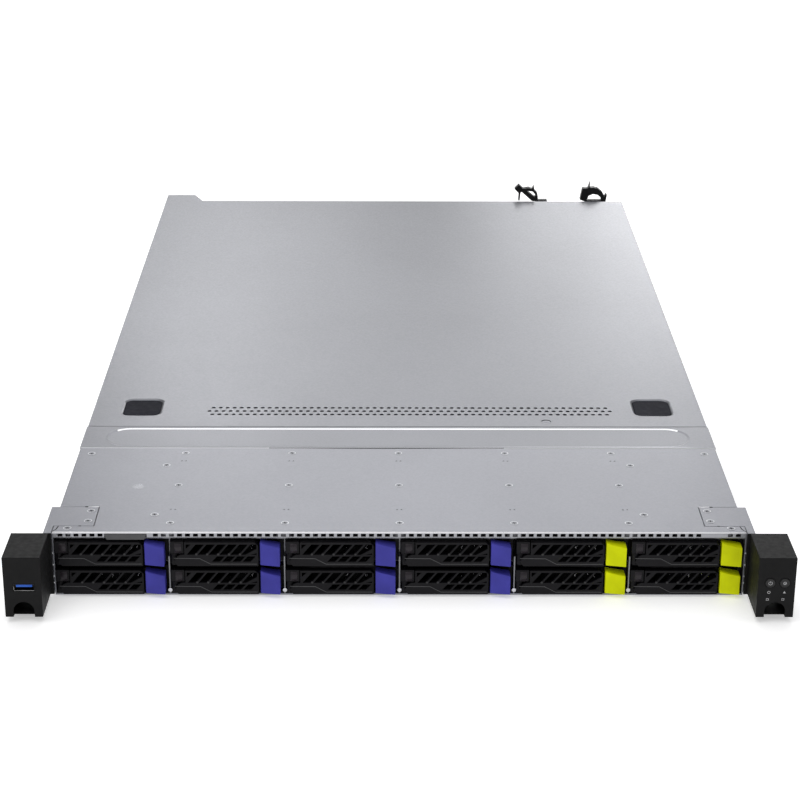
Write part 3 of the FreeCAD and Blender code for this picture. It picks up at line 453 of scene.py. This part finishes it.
def stack(bm, layers, plane=flat):
    """Equal loops on top of each other, closed at both ends: a turned or tapered solid."""
    rings = [ring(bm, points, plane(level))[0] for points, level in layers]
    bridge_all(bm, rings)
    bm.faces.new(rings[0])
    bm.faces.new(rings[-1])
    return bm


def block(bm, x, y, z, corner=0.0, steps=3):
    """A box with rounded upright edges."""
    if corner:
        points = rounded_rectangle(x, y, corner, steps)
    else:
        points = [(x[0], y[0]), (x[1], y[0]), (x[1], y[1]), (x[0], y[1])]
    return stack(bm, [(points, z[0]), (points, z[1])])


# Cover and panel details ------------------------------------------------------------------------------

def cross(x, y, reach, width, turn):
    """The outline of a cross recess."""
    points = [(width, width), (width, reach), (-width, reach), (-width, width), (-reach, width),
              (-reach, -width), (-width, -width), (-width, -reach), (width, -reach), (width, -width),
              (reach, -width), (reach, width)]
    c, s = math.cos(turn), math.sin(turn)
    return [(x + px * c - py * s, y + px * s + py * c) for px, py in points]


RIM_RISE, HEAD_RISE, RECESS_RISE = 0.16, 0.2, 0.03
RIM_PROFILE = ((1.34, 0), (1.28, RIM_RISE), (1.02, RIM_RISE), (0.96, 0.02))
HEAD_SHARE, CROSS_REACH, CROSS_WIDTH = 0.86, 0.58, 0.17


def screw(bm, x, y, level, radius, turn, plane=flat, out=1):
    """A low countersunk head in a pressed rim, with a cross recess; out is the way it faces.

    The rim's profile holds shares of the radius and how far each stands proud of the level.
    """
    rings = [ring(bm, circle(x, y, radius * share), plane(level + out * rise))[0]
             for share, rise in RIM_PROFILE]
    bridge_all(bm, rings)
    outer, outer_edges = ring(bm, circle(x, y, radius * HEAD_SHARE), plane(level + out * HEAD_RISE))
    bridge(bm, rings[-1], outer)
    mark = cross(x, y, radius * CROSS_REACH, radius * CROSS_WIDTH, turn)
    inner, inner_edges = ring(bm, mark, plane(level + out * HEAD_RISE))
    floor, _ = ring(bm, mark, plane(level + out * RECESS_RISE))
    bridge(bm, inner, floor)
    bm.faces.new(floor)
    bmesh.ops.triangle_fill(bm, use_beauty=True, edges=outer_edges + inner_edges)


def dimple(bm, x, y, level, radius):
    """A tiny raised weld mark with a sunken middle, which cover_screws paints dark as shade."""
    stack(bm, [(circle(x, y, radius * share, 12), level + rise)
               for share, rise in ((1, 0), (0.9, 0.13), (0.5, 0.13), (0.45, 0.02))])


SCREW_ROWS, DIMPLE_ROWS, DIMPLE_SHIFT = (13.2, 71, 124), (33.5, 111), 1.4
ROW_SCREW, LONE_SCREW, DIMPLE = 1.95, 2.0, 0.85
PANEL_SCREWS = ((-207.5, 123), (207.5, 123), (-155, 103.5), (155, 103.5), (-155, 25.5))
PLATE_SCREWS = ((195.8, 31), (195.8, 16), (207.3, 5.6))
PLUG_PLACE = (-170.2, 68.7)


def cover_screws():
    """Screws and weld marks over the drive cage and on the ear plates, and a round plug."""
    turns = random.Random(4)
    bm = bmesh.new()
    for x in DIVIDERS:
        for y in SCREW_ROWS:
            screw(bm, x, y, TOP, ROW_SCREW, turns.random() * 1.5)
        for y in DIMPLE_ROWS:
            for side in (-DIMPLE_SHIFT, DIMPLE_SHIFT):
                dimple(bm, x + side, y, TOP, DIMPLE)
    for x, y in PANEL_SCREWS:
        screw(bm, x, y, TOP, LONE_SCREW, turns.random() * 1.5)
    screw(bm, 155, 25.5, TOP, 2.1, 0.4)
    for side in (-1, 1):
        for x, y in PLATE_SCREWS:
            screw(bm, side * x, y, TOP, LONE_SCREW, turns.random() * 1.5)
    piece = finish_piece("panel_screws", bm, MATERIALS["zinc_steel"], "chassis")
    # Painted shade on the cross recesses' floors and the weld marks' sunken middles, and a painted highlight
    # on the flat tops of the screws' pressed rims.
    paint(piece, PAINTED_SHADE, lambda spot: spot.z < TOP + RECESS_RISE + 0.01)
    paint(piece, RIM_HIGHLIGHT_STEEL, lambda spot: abs(spot.z - TOP - RIM_RISE) < 0.01)
    plug = stack(bmesh.new(), [(circle(*PLUG_PLACE, radius, 32), TOP + rise)
                               for radius, rise in ((3.7, 0), (3.5, 0.04))])
    finish_piece("round_plug", plug, PLUG_STEEL, "chassis")


SIDE_SCREW, SIDE_ROW, SIDE_LEVEL = 2.1, (70, 300, 420, 540, 700), 33
CHEEK_PLACE, CHEEK_LEVELS, CHEEK_SHEET = 22, (12, 32), 1.7


def side_screws():
    """Screws along the sides of the chassis and on the ear cheeks."""
    bm = bmesh.new()
    for side in (-1, 1):
        for y in SIDE_ROW:
            screw(bm, y, SIDE_LEVEL, side * HALF_WIDTH, SIDE_SCREW, y, sideways, side)
        for z in CHEEK_LEVELS:
            screw(bm, CHEEK_PLACE, z, side * (HALF_WIDTH + CHEEK_SHEET), SIDE_SCREW, z, sideways, side)
    finish_piece("side_screws", bm, MATERIALS["zinc_steel"], "chassis")


def loaf(x, z, width, height, corner):
    """A slot with a flat foot and rounded shoulders."""
    points = [(x, z), (x + width, z)]
    for side, first in ((x + width - corner, 0), (x + corner, 90)):
        for step in range(5):
            angle = math.radians(first + 22.5 * step)
            points.append((side + corner * math.cos(angle), z + height - corner + corner * math.sin(angle)))
    return points


SHEET = 1.0
PLATE_SIDE, PLATE_NEAR, PLATE_FAR = 191.2, 8.7, 37.5
RAIL_HEIGHT, RAIL_OVERLAP = 3.7, 0.9
# Stretches of the rail: both ends, and the first slot and the count of each run of slots.
RAIL_STRETCHES = (
    ((-215.6, -183.8), ((-212.8, 6),)),
    ((-157.4, 215.6), ((-153.5, 69), (204.6, 2))),
)
SLOT_LIFT, SLOT_WIDTH, SLOT_HEIGHT = 0.5, 3.1, 2.15
SQUARE_SHOULDER, ROUND_SHOULDER, SQUARE_UNTIL = 0.35, 0.9, -90


def front_panel():
    """The front panel with its ear corners, the slotted rail under its edge, and tabs behind some slots."""
    back = limits("front_cover")[1].y
    right = [(HALF_WIDTH, 0), (HALF_WIDTH, PLATE_NEAR), (PLATE_SIDE, PLATE_NEAR), (PLATE_SIDE, PLATE_FAR),
             (HALF_WIDTH, PLATE_FAR), (HALF_WIDTH, back)]
    outline = right + [(-x, y) for x, y in reversed(right)]
    bm = stack(bmesh.new(), [(outline, TOP - SHEET), (outline, TOP)])
    panel = finish_piece("front_panel", soften(bm, 0.3, 3), MATERIALS["zinc_steel"], "chassis",
                         "front_cover")
    # A painted highlight along the panel's rounded front edge.
    paint(panel, PAINTED_HIGHLIGHT, lambda spot: spot.y < 0.32 and spot.z > TOP - 0.9)
    foot, head = TOP - RAIL_HEIGHT, TOP - RAIL_OVERLAP
    bm = bmesh.new()
    for (left, right), runs in RAIL_STRETCHES:
        slots = []
        for first, count in runs:
            for place in range(count):
                shoulder = SQUARE_SHOULDER if first + place < SQUARE_UNTIL else ROUND_SHOULDER
                slots.append(loaf(first + place * SLOT_PITCH, foot + SLOT_LIFT, SLOT_WIDTH, SLOT_HEIGHT,
                                  shoulder))
        slab(bm, [(left, foot), (right, foot), (right, head), (left, head)], SHEET, 0, slots, upright)
    # The rail's lighter steel is painted light on its front face.
    finish_piece("slotted_rail", bm, RAIL_STEEL_PAINTED_LIGHT, "chassis", "front_cover")
    bm = bmesh.new()
    spots = [(x - 0.3, 4.4) for x in DIVIDERS]
    for x, reach in spots + [(-206.3, 1.4), (206.2, 1.2)]:
        block(bm, (x - reach, x + reach), (1.05, 1.7), (foot + 0.2, foot + 2.1))
    finish_piece("rail_tabs", bm, MATERIALS["cage_steel"], "chassis")


# The painted shadow in the seam gap: steps to each side of its middle, its greatest width, and where along x
# it is widest.
BOW_STEPS, BOW_DEPTH, BOW_MIDDLE = 8, 1.15, -8


def seam_marks():
    """Painted shade in the notches at the ear plates' corners and along the plates' front corners, painted
    highlights on the edges beside them, and a painted shadow in the gap that opens where the front panel's
    back edge bows down."""
    dark, bright = bmesh.new(), bmesh.new()
    levels = (TOP - 0.3, TOP + 0.03)
    for side in (-1, 1):
        for x, y in (((198.6, 200.4), (36.6, 37.9)), ((199.2, 200.8), (8.3, 9.3))):
            block(dark, sorted(side * value for value in x), y, levels)
        line = [(213.0, 8.8), (213.5, 8.8), (214.3, 4.3), (216.3, 0.6), (216.3, 0.0), (213.7, 4.0)]
        stack(dark, [([(side * x, y) for x, y in line], level) for level in levels])
        block(bright, sorted((side * 191.4, side * 198.3)), (36.9, 37.7), levels)
    bow = [(10 * step + BOW_MIDDLE, BOW_DEPTH * (1 - (step / BOW_STEPS) ** 2))
           for step in range(-BOW_STEPS, BOW_STEPS + 1)]
    sliver = [(x, BRIDGE_FRONT - 0.05 - gap) for x, gap in bow]
    sliver += [(x, BRIDGE_FRONT + 0.02) for x, _ in reversed(bow)]
    stack(dark, [(sliver, level) for level in levels])
    finish_piece("seam_painted_shade", dark, PAINTED_SHADE, "chassis")
    finish_piece("seam_painted_highlights", bright, PAINTED_HIGHLIGHT, "chassis")


def divider_rivets():
    """The rivet at the foot of each divider and the small screws down the end walls, in a bright steel that
    paints their highlights on.
    """
    bm = bmesh.new()
    for number, x in enumerate(DIVIDERS, 1):
        screw(bm, x, 3.4, -0.1, 1.0, number, upright, -1)
    for side in (-1, 1):
        for z in (8.5, 13, 21, 29):
            stack(bm, [(circle(side * 216.4, z, 0.6, 12), 0), (circle(side * 216.4, z, 0.45, 12), -0.3)],
                  upright)
    finish_piece("front_rivets", bm, PAINTED_HIGHLIGHT, "chassis")


STADIUM_REACH, STADIUM_DEPTH, STADIUM_CORNER = 201.5, 16.3, 16.2
# The pressed slope: how much larger each outline is than the first, and its level.
STADIUM_SLOPE = ((0.0, TOP), (-0.3, TOP - 0.08), (-1.1, TOP - 0.5), (-1.5, TOP - 0.58))
PANEL_BEVEL = 0.35


def stadium(grow, steps=14):
    """The outline pressed into the bridge panel, made larger by a margin."""
    return rounded_rectangle((-STADIUM_REACH - grow, STADIUM_REACH + grow),
                             (BRIDGE_MIDDLE - STADIUM_DEPTH - grow, BRIDGE_MIDDLE + STADIUM_DEPTH + grow),
                             STADIUM_CORNER + grow, steps)


def bridge_panel():
    """The strip between the covers, with a shallow stadium pressed down into it."""
    low, high = limits("bridge_cover")
    bm = bmesh.new()
    outline = rounded_rectangle((low.x, high.x), (low.y, high.y), 0.6, 2)
    inset = rounded_rectangle((low.x + PANEL_BEVEL, high.x - PANEL_BEVEL),
                              (low.y + PANEL_BEVEL, high.y - PANEL_BEVEL), 0.5, 2)
    top, top_edges = ring(bm, inset, flat(TOP))
    edge, _ = ring(bm, outline, flat(TOP - PANEL_BEVEL))
    bridge(bm, top, edge)
    under, under_edges = ring(bm, outline, flat(low.z))
    bridge(bm, edge, under)
    bmesh.ops.triangle_fill(bm, use_beauty=True, edges=under_edges)
    rings = [ring(bm, stadium(grow), flat(level)) for grow, level in STADIUM_SLOPE]
    bridge_all(bm, [verts for verts, _ in rings])
    bm.faces.new(rings[-1][0])
    bmesh.ops.triangle_fill(bm, use_beauty=True, edges=top_edges + rings[0][1])
    piece = finish_piece("bridge_panel", bm, MATERIALS["cover_steel"], "chassis",
                         "bridge_cover")
    # Painted highlights: a bright band on the far wall of the pressed stadium, and a lighter steel on the
    # panel's front edge.
    paint(piece, PAINTED_HIGHLIGHT, lambda spot: spot.y > BRIDGE_MIDDLE + 12 and TOP - 0.56 < spot.z < TOP - 0.2)
    paint(piece, RIM_HIGHLIGHT_STEEL, lambda spot: spot.y < BRIDGE_FRONT + 0.3 and spot.z > TOP - 0.3)


TAB_DEPTH, TAB_CORNERS = 19.7, (-182, -190.5)
# Vents: the first one's place, the pitches across and along, and each row's shift in pitches and count.
VENT_PLACE, VENT_PITCH, VENT_RADIUS = (-131.4, 193.6), (5, 6.2), 1.55
VENT_ROWS = ((0, 57), (-0.5, 58), (0, 57))
LOCK_PLACE = (104.4, 180.7)
PAD_PLACE, PAD_HALF, PAD_CORNER = (182, 207.2), (12.75, 14.5), 5


def rear_panel():
    """The sliding cover with round vents, thumb windows with pressed rims and a rear tab."""
    low, high = limits("rear_cover")
    bm = bmesh.new()
    back = high.y - TAB_DEPTH
    outline = [(low.x, low.y), (high.x, low.y), (high.x, back), (TAB_CORNERS[0], back),
               (TAB_CORNERS[1], high.y), (low.x, high.y)]
    holes = []
    for line, (shift, count) in enumerate(VENT_ROWS):
        for place in range(count):
            holes.append(circle(VENT_PLACE[0] + VENT_PITCH[0] * (place + shift),
                                VENT_PLACE[1] + VENT_PITCH[1] * line, VENT_RADIUS, 10))
    holes.append(circle(*LOCK_PLACE, 3.5, 20))
    tops, bottoms = walls(bm, (outline, *holes), low.z, high.z)
    rim = ((1.9, high.z), (1.5, high.z - 0.1), (0.7, high.z - 0.75), (0.4, low.z))
    for side in (-1, 1):
        rings = [ring(bm, pad_outline(side, grow), flat(level)) for grow, level in rim]
        bridge_all(bm, [verts for verts, _ in rings])
        tops += rings[0][1]
        bottoms += rings[-1][1]
    for edges in (tops, bottoms):
        bmesh.ops.triangle_fill(bm, use_beauty=True, edges=edges)
    finish_piece("rear_panel", bm, MATERIALS["cover_steel"], "cover", "rear_cover")


def pad_outline(side, grow):
    """A thumb pad's outline, made larger by a margin."""
    x, y = side * PAD_PLACE[0], PAD_PLACE[1]
    return rounded_rectangle((x - PAD_HALF[0] - grow, x + PAD_HALF[0] + grow),
                             (y - PAD_HALF[1] - grow, y + PAD_HALF[1] + grow), PAD_CORNER + grow, 6)


def thumb_pads():
    """Dark dished pads in the cover's windows, and the turn lock."""
    low, high = limits("cover_fittings")
    dish = ((0.2, low.z), (0.2, high.z - 0.5), (-0.3, high.z - 0.2), (-2.5, high.z - 0.4))
    bm = bmesh.new()
    for side in (-1, 1):
        stack(bm, [(pad_outline(side, grow), level) for grow, level in dish])
    finish_piece("thumb_pads", bm, PAD_BLACK, "cover", "cover_fittings")
    bm = bmesh.new()
    stack(bm, [(circle(*LOCK_PLACE, radius), level)
               for radius, level in ((3.2, low.z), (3.2, high.z - 0.1), (2.9, high.z + 0.1))])
    x, y = LOCK_PLACE
    block(bm, (x - 2, x + 2), (y - 0.4, y + 0.4), (high.z + 0.1, high.z + 0.22))
    finish_piece("cover_lock", bm, MATERIALS["zinc_steel"], "cover")


# Drive bays -------------------------------------------------------------------------------------------

DRIVE_FRONT, DRIVE_LIFT, DRIVE_HEIGHT = 9.5, 0.6, 15
MATCH = 0.01


def tray_pieces(number):
    """The black carrier and the drive inside it, which together stand for the tray."""
    node = f"drive_tray_{number:02d}"
    low, high = limits(node)
    front, back, base = DRIVE_FRONT, high.y, low.z + DRIVE_LIFT
    carrier = from_cad(node)
    drive = [face for face in carrier.faces
             if all(min(abs(vert.co.y - front), abs(vert.co.y - back)) < MATCH
                    and min(abs(vert.co.z - base), abs(vert.co.z - base - DRIVE_HEIGHT)) < MATCH
                    for vert in face.verts)]
    bmesh.ops.delete(carrier, geom=drive, context="FACES")
    finish_piece(f"carrier_{number:02d}", soften(carrier, 0.15, 1), MATERIALS["bezel_plastic"], BODIES[node],
                 node)
    bm = bmesh.new()
    block(bm, (low.x + 0.4, high.x - 0.4), (front, back), (base, base + DRIVE_HEIGHT), 1.5)
    finish_piece(f"drive_{number:02d}", soften(bm, 0.3, 2, 60), MATERIALS["drive_metal"], BODIES[node],
                 node)
    # A dark sheet on the drive's face: painted shade behind the lever.
    bm = bmesh.new()
    block(bm, (low.x + 1.5, high.x - 1.5), (front - 0.1, front), (base + 0.4, base + 14.6))
    finish_piece(f"drive_face_shade_{number:02d}", bm, PAINTED_SHADE, BODIES[node])


GLINT_LEVEL, GLINT_WIDTH = 7.8, 0.6


def bay_details(number, left, low):
    """Light pipe, the slats' rounded feet, a painted highlight along the lever's edge, and painted glints:
    white patches on the drive's face behind the lever.
    """
    body = f"tray_{number:02d}"
    bm = bmesh.new()
    block(bm, (left + 3.6, left + 8.0), (-1.35, -1.1), (low + 8.9, low + 15.4), 0.1, 1)
    finish_piece(f"light_pipe_{number:02d}", bm, LIGHT_PIPE, body)
    bm = bmesh.new()
    for slat in range(1, 6):
        x = left + 10.45 + 6.8 * slat
        stack(bm, [(circle(x, low + 8.3, 0.8, 12), -1.9), (circle(x, low + 8.3, 0.7, 12), -2.15),
                   (circle(x, low + 8.3, 0.35, 12), -2.25)], upright)
    finish_piece(f"slat_feet_{number:02d}", bm, SOFT_BLACK, f"lever_{number:02d}")
    # A grey strip along the lip's edge: a painted highlight.
    path = [(3.2, 5.8), (19.2, 5.6), (26.1, 1.8), (55.0, 1.8)]
    outline = [(left + x, low + z) for x, z in path]
    outline += [(left + x, low + z - 0.4) for x, z in reversed(path)]
    edge = slab(bmesh.new(), outline, -1.9, -2.1, plane=upright)
    finish_piece(f"lever_edge_highlight_{number:02d}", edge, EDGE_HIGHLIGHT_GREY, f"lever_{number:02d}")
    # White patches that stand for glints on the drive's face: painted highlights.
    bm = bmesh.new()
    for x, z in ((27.8, 8.3), (11.3, 3.4), (28.5, 3.4)):
        block(bm, (left + x - 0.8, left + x + 0.8), (9.1, 9.3), (low + z - 0.2, low + z + 0.2))
    for x, lean in ((35.2, 1), (38.4, -1), (47.7, 1), (50.4, -1)):
        for rise in (-1, 1):
            line = [(left + x, low + GLINT_LEVEL), (left + x + GLINT_WIDTH, low + GLINT_LEVEL),
                    (left + x + GLINT_WIDTH - 1.1 * lean, low + GLINT_LEVEL + 1.2 * rise),
                    (left + x - 1.1 * lean, low + GLINT_LEVEL + 1.2 * rise)]
            stack(bm, [(line, 9.3), (line, 9.1)], upright)
    finish_piece(f"drive_glints_{number:02d}", bm, PAINTED_GLINT_WHITE, body)


def drive_bays():
    """The cage, with painted shade on the front edges of its upper right dividers, and the twelve bays."""
    cage = finish_piece("drive_cage_look", from_cad("drive_cage"), MATERIALS["cage_steel"],
                        BODIES["drive_cage"], "drive_cage")
    # Painted shade on the upper front edges of the dividers right of the middle.
    paint(cage, PAINTED_SHADE, lambda spot: spot.y < 7 and spot.z > 26 and spot.x > BAY / 2)
    for line in range(2):
        for column in range(COLUMNS):
            number = line * COLUMNS + column + 1
            left = (column - COLUMNS // 2) * BAY
            low = limits(f"drive_tray_{number:02d}")[0].z
            rounded(f"drive_lever_{number:02d}", 0.18)
            rounded(f"drive_latch_{number:02d}", 0.5, 3)
            tray_pieces(number)
            bay_details(number, left, low)


# Ears -------------------------------------------------------------------------------------------------

SIGN_SINK, SIGN_RISE = 0.02, 0.012


def sign(bm, outline, face, holes=()):
    """A thin printed shape on a front face."""
    slab(bm, outline, face + SIGN_SINK, face - SIGN_RISE, holes, upright)


def arc(x, z, radius, start, end, width=0.28, steps=18):
    """The outline of a part of a ring between two angles in degrees."""
    angles = [math.radians(start + (end - start) * step / steps) for step in range(steps + 1)]
    outline = [(x + radius * math.cos(a), z + radius * math.sin(a)) for a in angles]
    return outline + [(x + (radius - width) * math.cos(a), z + (radius - width) * math.sin(a))
                      for a in reversed(angles)]


def square(x, z, reach, rise):
    return [(x - reach, z - rise), (x + reach, z - rise), (x + reach, z + rise), (x - reach, z + rise)]


def ear_icons():
    """Plain signs on the right ear: a power ring, a dot ring, a ring, a triangle and two small squares."""
    bm = bmesh.new()
    button = limits("power_button")[0].y
    sign(bm, arc(225.8, 26.8, 1.25, 120, 420), button)
    sign(bm, [(225.66, 26.9), (225.94, 26.9), (225.94, 28.3), (225.66, 28.3)], button)
    sign(bm, arc(234.7, 26.8, 1.0, 0, 359), button)
    sign(bm, circle(234.7, 26.8, 0.3, 10), button)
    sign(bm, arc(225.3, 20.4, 0.95, 0, 359), EAR_FRONT)
    sign(bm, [(233.9, 19.8), (235.7, 19.8), (234.8, 21.2)], EAR_FRONT)
    for x in (224.7, 234.2):
        sign(bm, square(x, 15.6, 0.8, 0.7), EAR_FRONT, [square(x, 15.6, 0.55, 0.45)])
    finish_piece("ear_signs", bm, PRINT_WHITE, "chassis")


def usb_insert():
    """The socket's dark shell with a bright lower lip, and its blue tongue."""
    rounded("usb_port", 0.1, 1, DARK_SHELL)
    low, high = limits("usb_port")
    depth = (low.y - 0.02, low.y + 0.1)
    bm = block(bmesh.new(), (low.x + 0.5, high.x - 0.4), depth, (low.z + 0.25, low.z + 0.5))
    block(bm, (low.x + 0.1, low.x + 0.35), depth, (low.z + 0.5, low.z + 3))
    finish_piece("socket_lip", bm, MATERIALS["connector_metal"], "chassis")
    bm = bmesh.new()
    block(bm, (low.x + 1.5, high.x - 1.5), (low.y + 0.7, high.y - 1), (high.z - 2.4, high.z - 0.8), 0.2, 1)
    finish_piece("socket_tongue", bm, SOCKET_BLUE, "chassis")


# A front button's cap from the middle of its face back: radius, and depth behind the face.
CAP_PROFILE = ((2.3, 0.12), (2.6, 0), (2.85, 0.08), (3.0, 0.35), (3.0, 2.4), (3.7, 2.4), (3.7, 3.3))


def ears():
    """The ears with their buttons, plates, tag, socket and signs."""
    for side in ("left", "right"):
        rounded(f"ear_{side}", 0.55, 3)
    for name in ("power", "id"):
        low, high = limits(f"{name}_button")
        x, z = (low.x + high.x) / 2, (low.z + high.z) / 2
        bm = stack(bmesh.new(), [(circle(x, z, radius, 32), low.y + back) for radius, back in CAP_PROFILE],
                   upright)
        finish_piece(f"{name}_cap", bm, MATERIALS["button_plastic"], f"{name}_button",
                     f"{name}_button")
    # The ear plates' lower front is painted dark as shade.
    paint(rounded("ear_plates", 0.2), PAINTED_SHADE, lambda spot: spot.z < 32 and spot.y < 1)
    rounded("info_tag", 0.3)
    usb_insert()
    ear_icons()


# Rear -------------------------------------------------------------------------------------------------

def dark_hole(bm, x, z, radius, count):
    """A thin dark disc on the rear wall: painted shade that stands for a hole."""
    stack(bm, [(circle(x, z, radius, count), LENGTH), (circle(x, z, radius, count), LENGTH + 0.04)], upright)


def power_supplies():
    """Cases with an exhaust grille painted as dark discs of shade, a lamp and the blades of the mains inlet.
    """
    for side in ("left", "right"):
        rounded(f"psu_{side}", 0.5, 2)
        rounded(f"psu_catch_{side}", 0.3, 2)
        rounded(f"cable_strap_{side}", 0.3, 3)
        low, high = limits(f"psu_{side}")
        holes, lamp, blades = bmesh.new(), bmesh.new(), bmesh.new()
        for line in range(9):
            for place in range(4):
                x, z = low.x + 3.6 + 3.2 * place + 1.6 * (line % 2), low.z + 5.5 + 3.6 * line
                dark_hole(holes, x, z, 1.25, 10)
        stack(lamp, [(circle(high.x - 4, high.z - 4.5, 1.1, 16), LENGTH),
                     (circle(high.x - 4, high.z - 4.5, 0.9, 16), LENGTH + 0.25)], upright)
        middle = (high.x - 8, (low.z + high.z) / 2)
        for x, z in ((0, 5), (-3, -4), (3, -4)):
            block(blades, (middle[0] + x - 0.6, middle[0] + x + 0.6), (LENGTH - 11, LENGTH - 3),
                  (middle[1] + z - 2, middle[1] + z + 2), 0.2, 1)
        body = f"supply_{side}"
        finish_piece(f"exhaust_{side}", holes, PAINTED_SHADE, body)
        finish_piece(f"lamp_{side}", lamp, MATERIALS["catch_plastic"], body)
        finish_piece(f"inlet_blades_{side}", blades, MATERIALS["connector_metal"], body)


# Rear ports: how far left of the supplies each starts, its width and its height.
PORTS = ((143.1, 17, 12), (117.1, 14, 15), (93.1, 16, 14), (71.1, 16, 14), (47.1, 30, 9))


def inner_boards():
    """The main board with metal ports, dark memory and chips, and painted shade in the ports' openings and in
    the holes of the plates in the rear wall.
    """
    board = finish_piece("motherboard_look", from_cad("motherboard"), MATERIALS["board_green"], "chassis",
                         "motherboard")
    paint(board, MATERIALS["dark_fitting"], lambda spot: spot.z > 6.7 and spot.y < LENGTH - 60)
    paint(board, MATERIALS["connector_metal"], lambda spot: spot.z > 6.7 and spot.y > LENGTH - 31)
    paint(board, MATERIALS["zinc_steel"], lambda spot: spot.z > 21.9 and spot.y > LENGTH - 0.8)
    # Dark blocks and discs: painted shade in the ports' openings and the plates' holes.
    bm = bmesh.new()
    edge = limits("psu_left")[0].x
    for reach, width, height in PORTS:
        x = edge - reach
        block(bm, (x + 1.6, x + width - 1.6), (LENGTH, LENGTH + 0.04), (8.4, 6.6 + height - 1.8))
    for plate in range(2):
        first = -HALF_WIDTH + 10.3 + 66 * plate
        for line in range(3):
            for place in range(13):
                x, z = first + 5.5 + 4 * place + 1.5 * (line % 2), 26 + 4.4 * line
                dark_hole(bm, x, z, 1.3, 8)
    finish_piece("rear_openings", bm, PAINTED_SHADE, "chassis")


def carried_over():
    """Gives the CAD nodes that stay their procedural materials."""
    for node, item in NODES.items():
        material = MATERIALS[SLOTS[node]]
        if item.data.materials:
            for index in range(len(item.data.materials)):
                item.data.materials[index] = material
        else:
            item.data.materials.append(material)


add_camera()
add_floor()
add_studio()
carried_over()
front_panel()
seam_marks()
divider_rivets()
bridge_panel()
rear_panel()
thumb_pads()
cover_screws()
side_screws()
drive_bays()
ears()
power_supplies()
inner_boards()
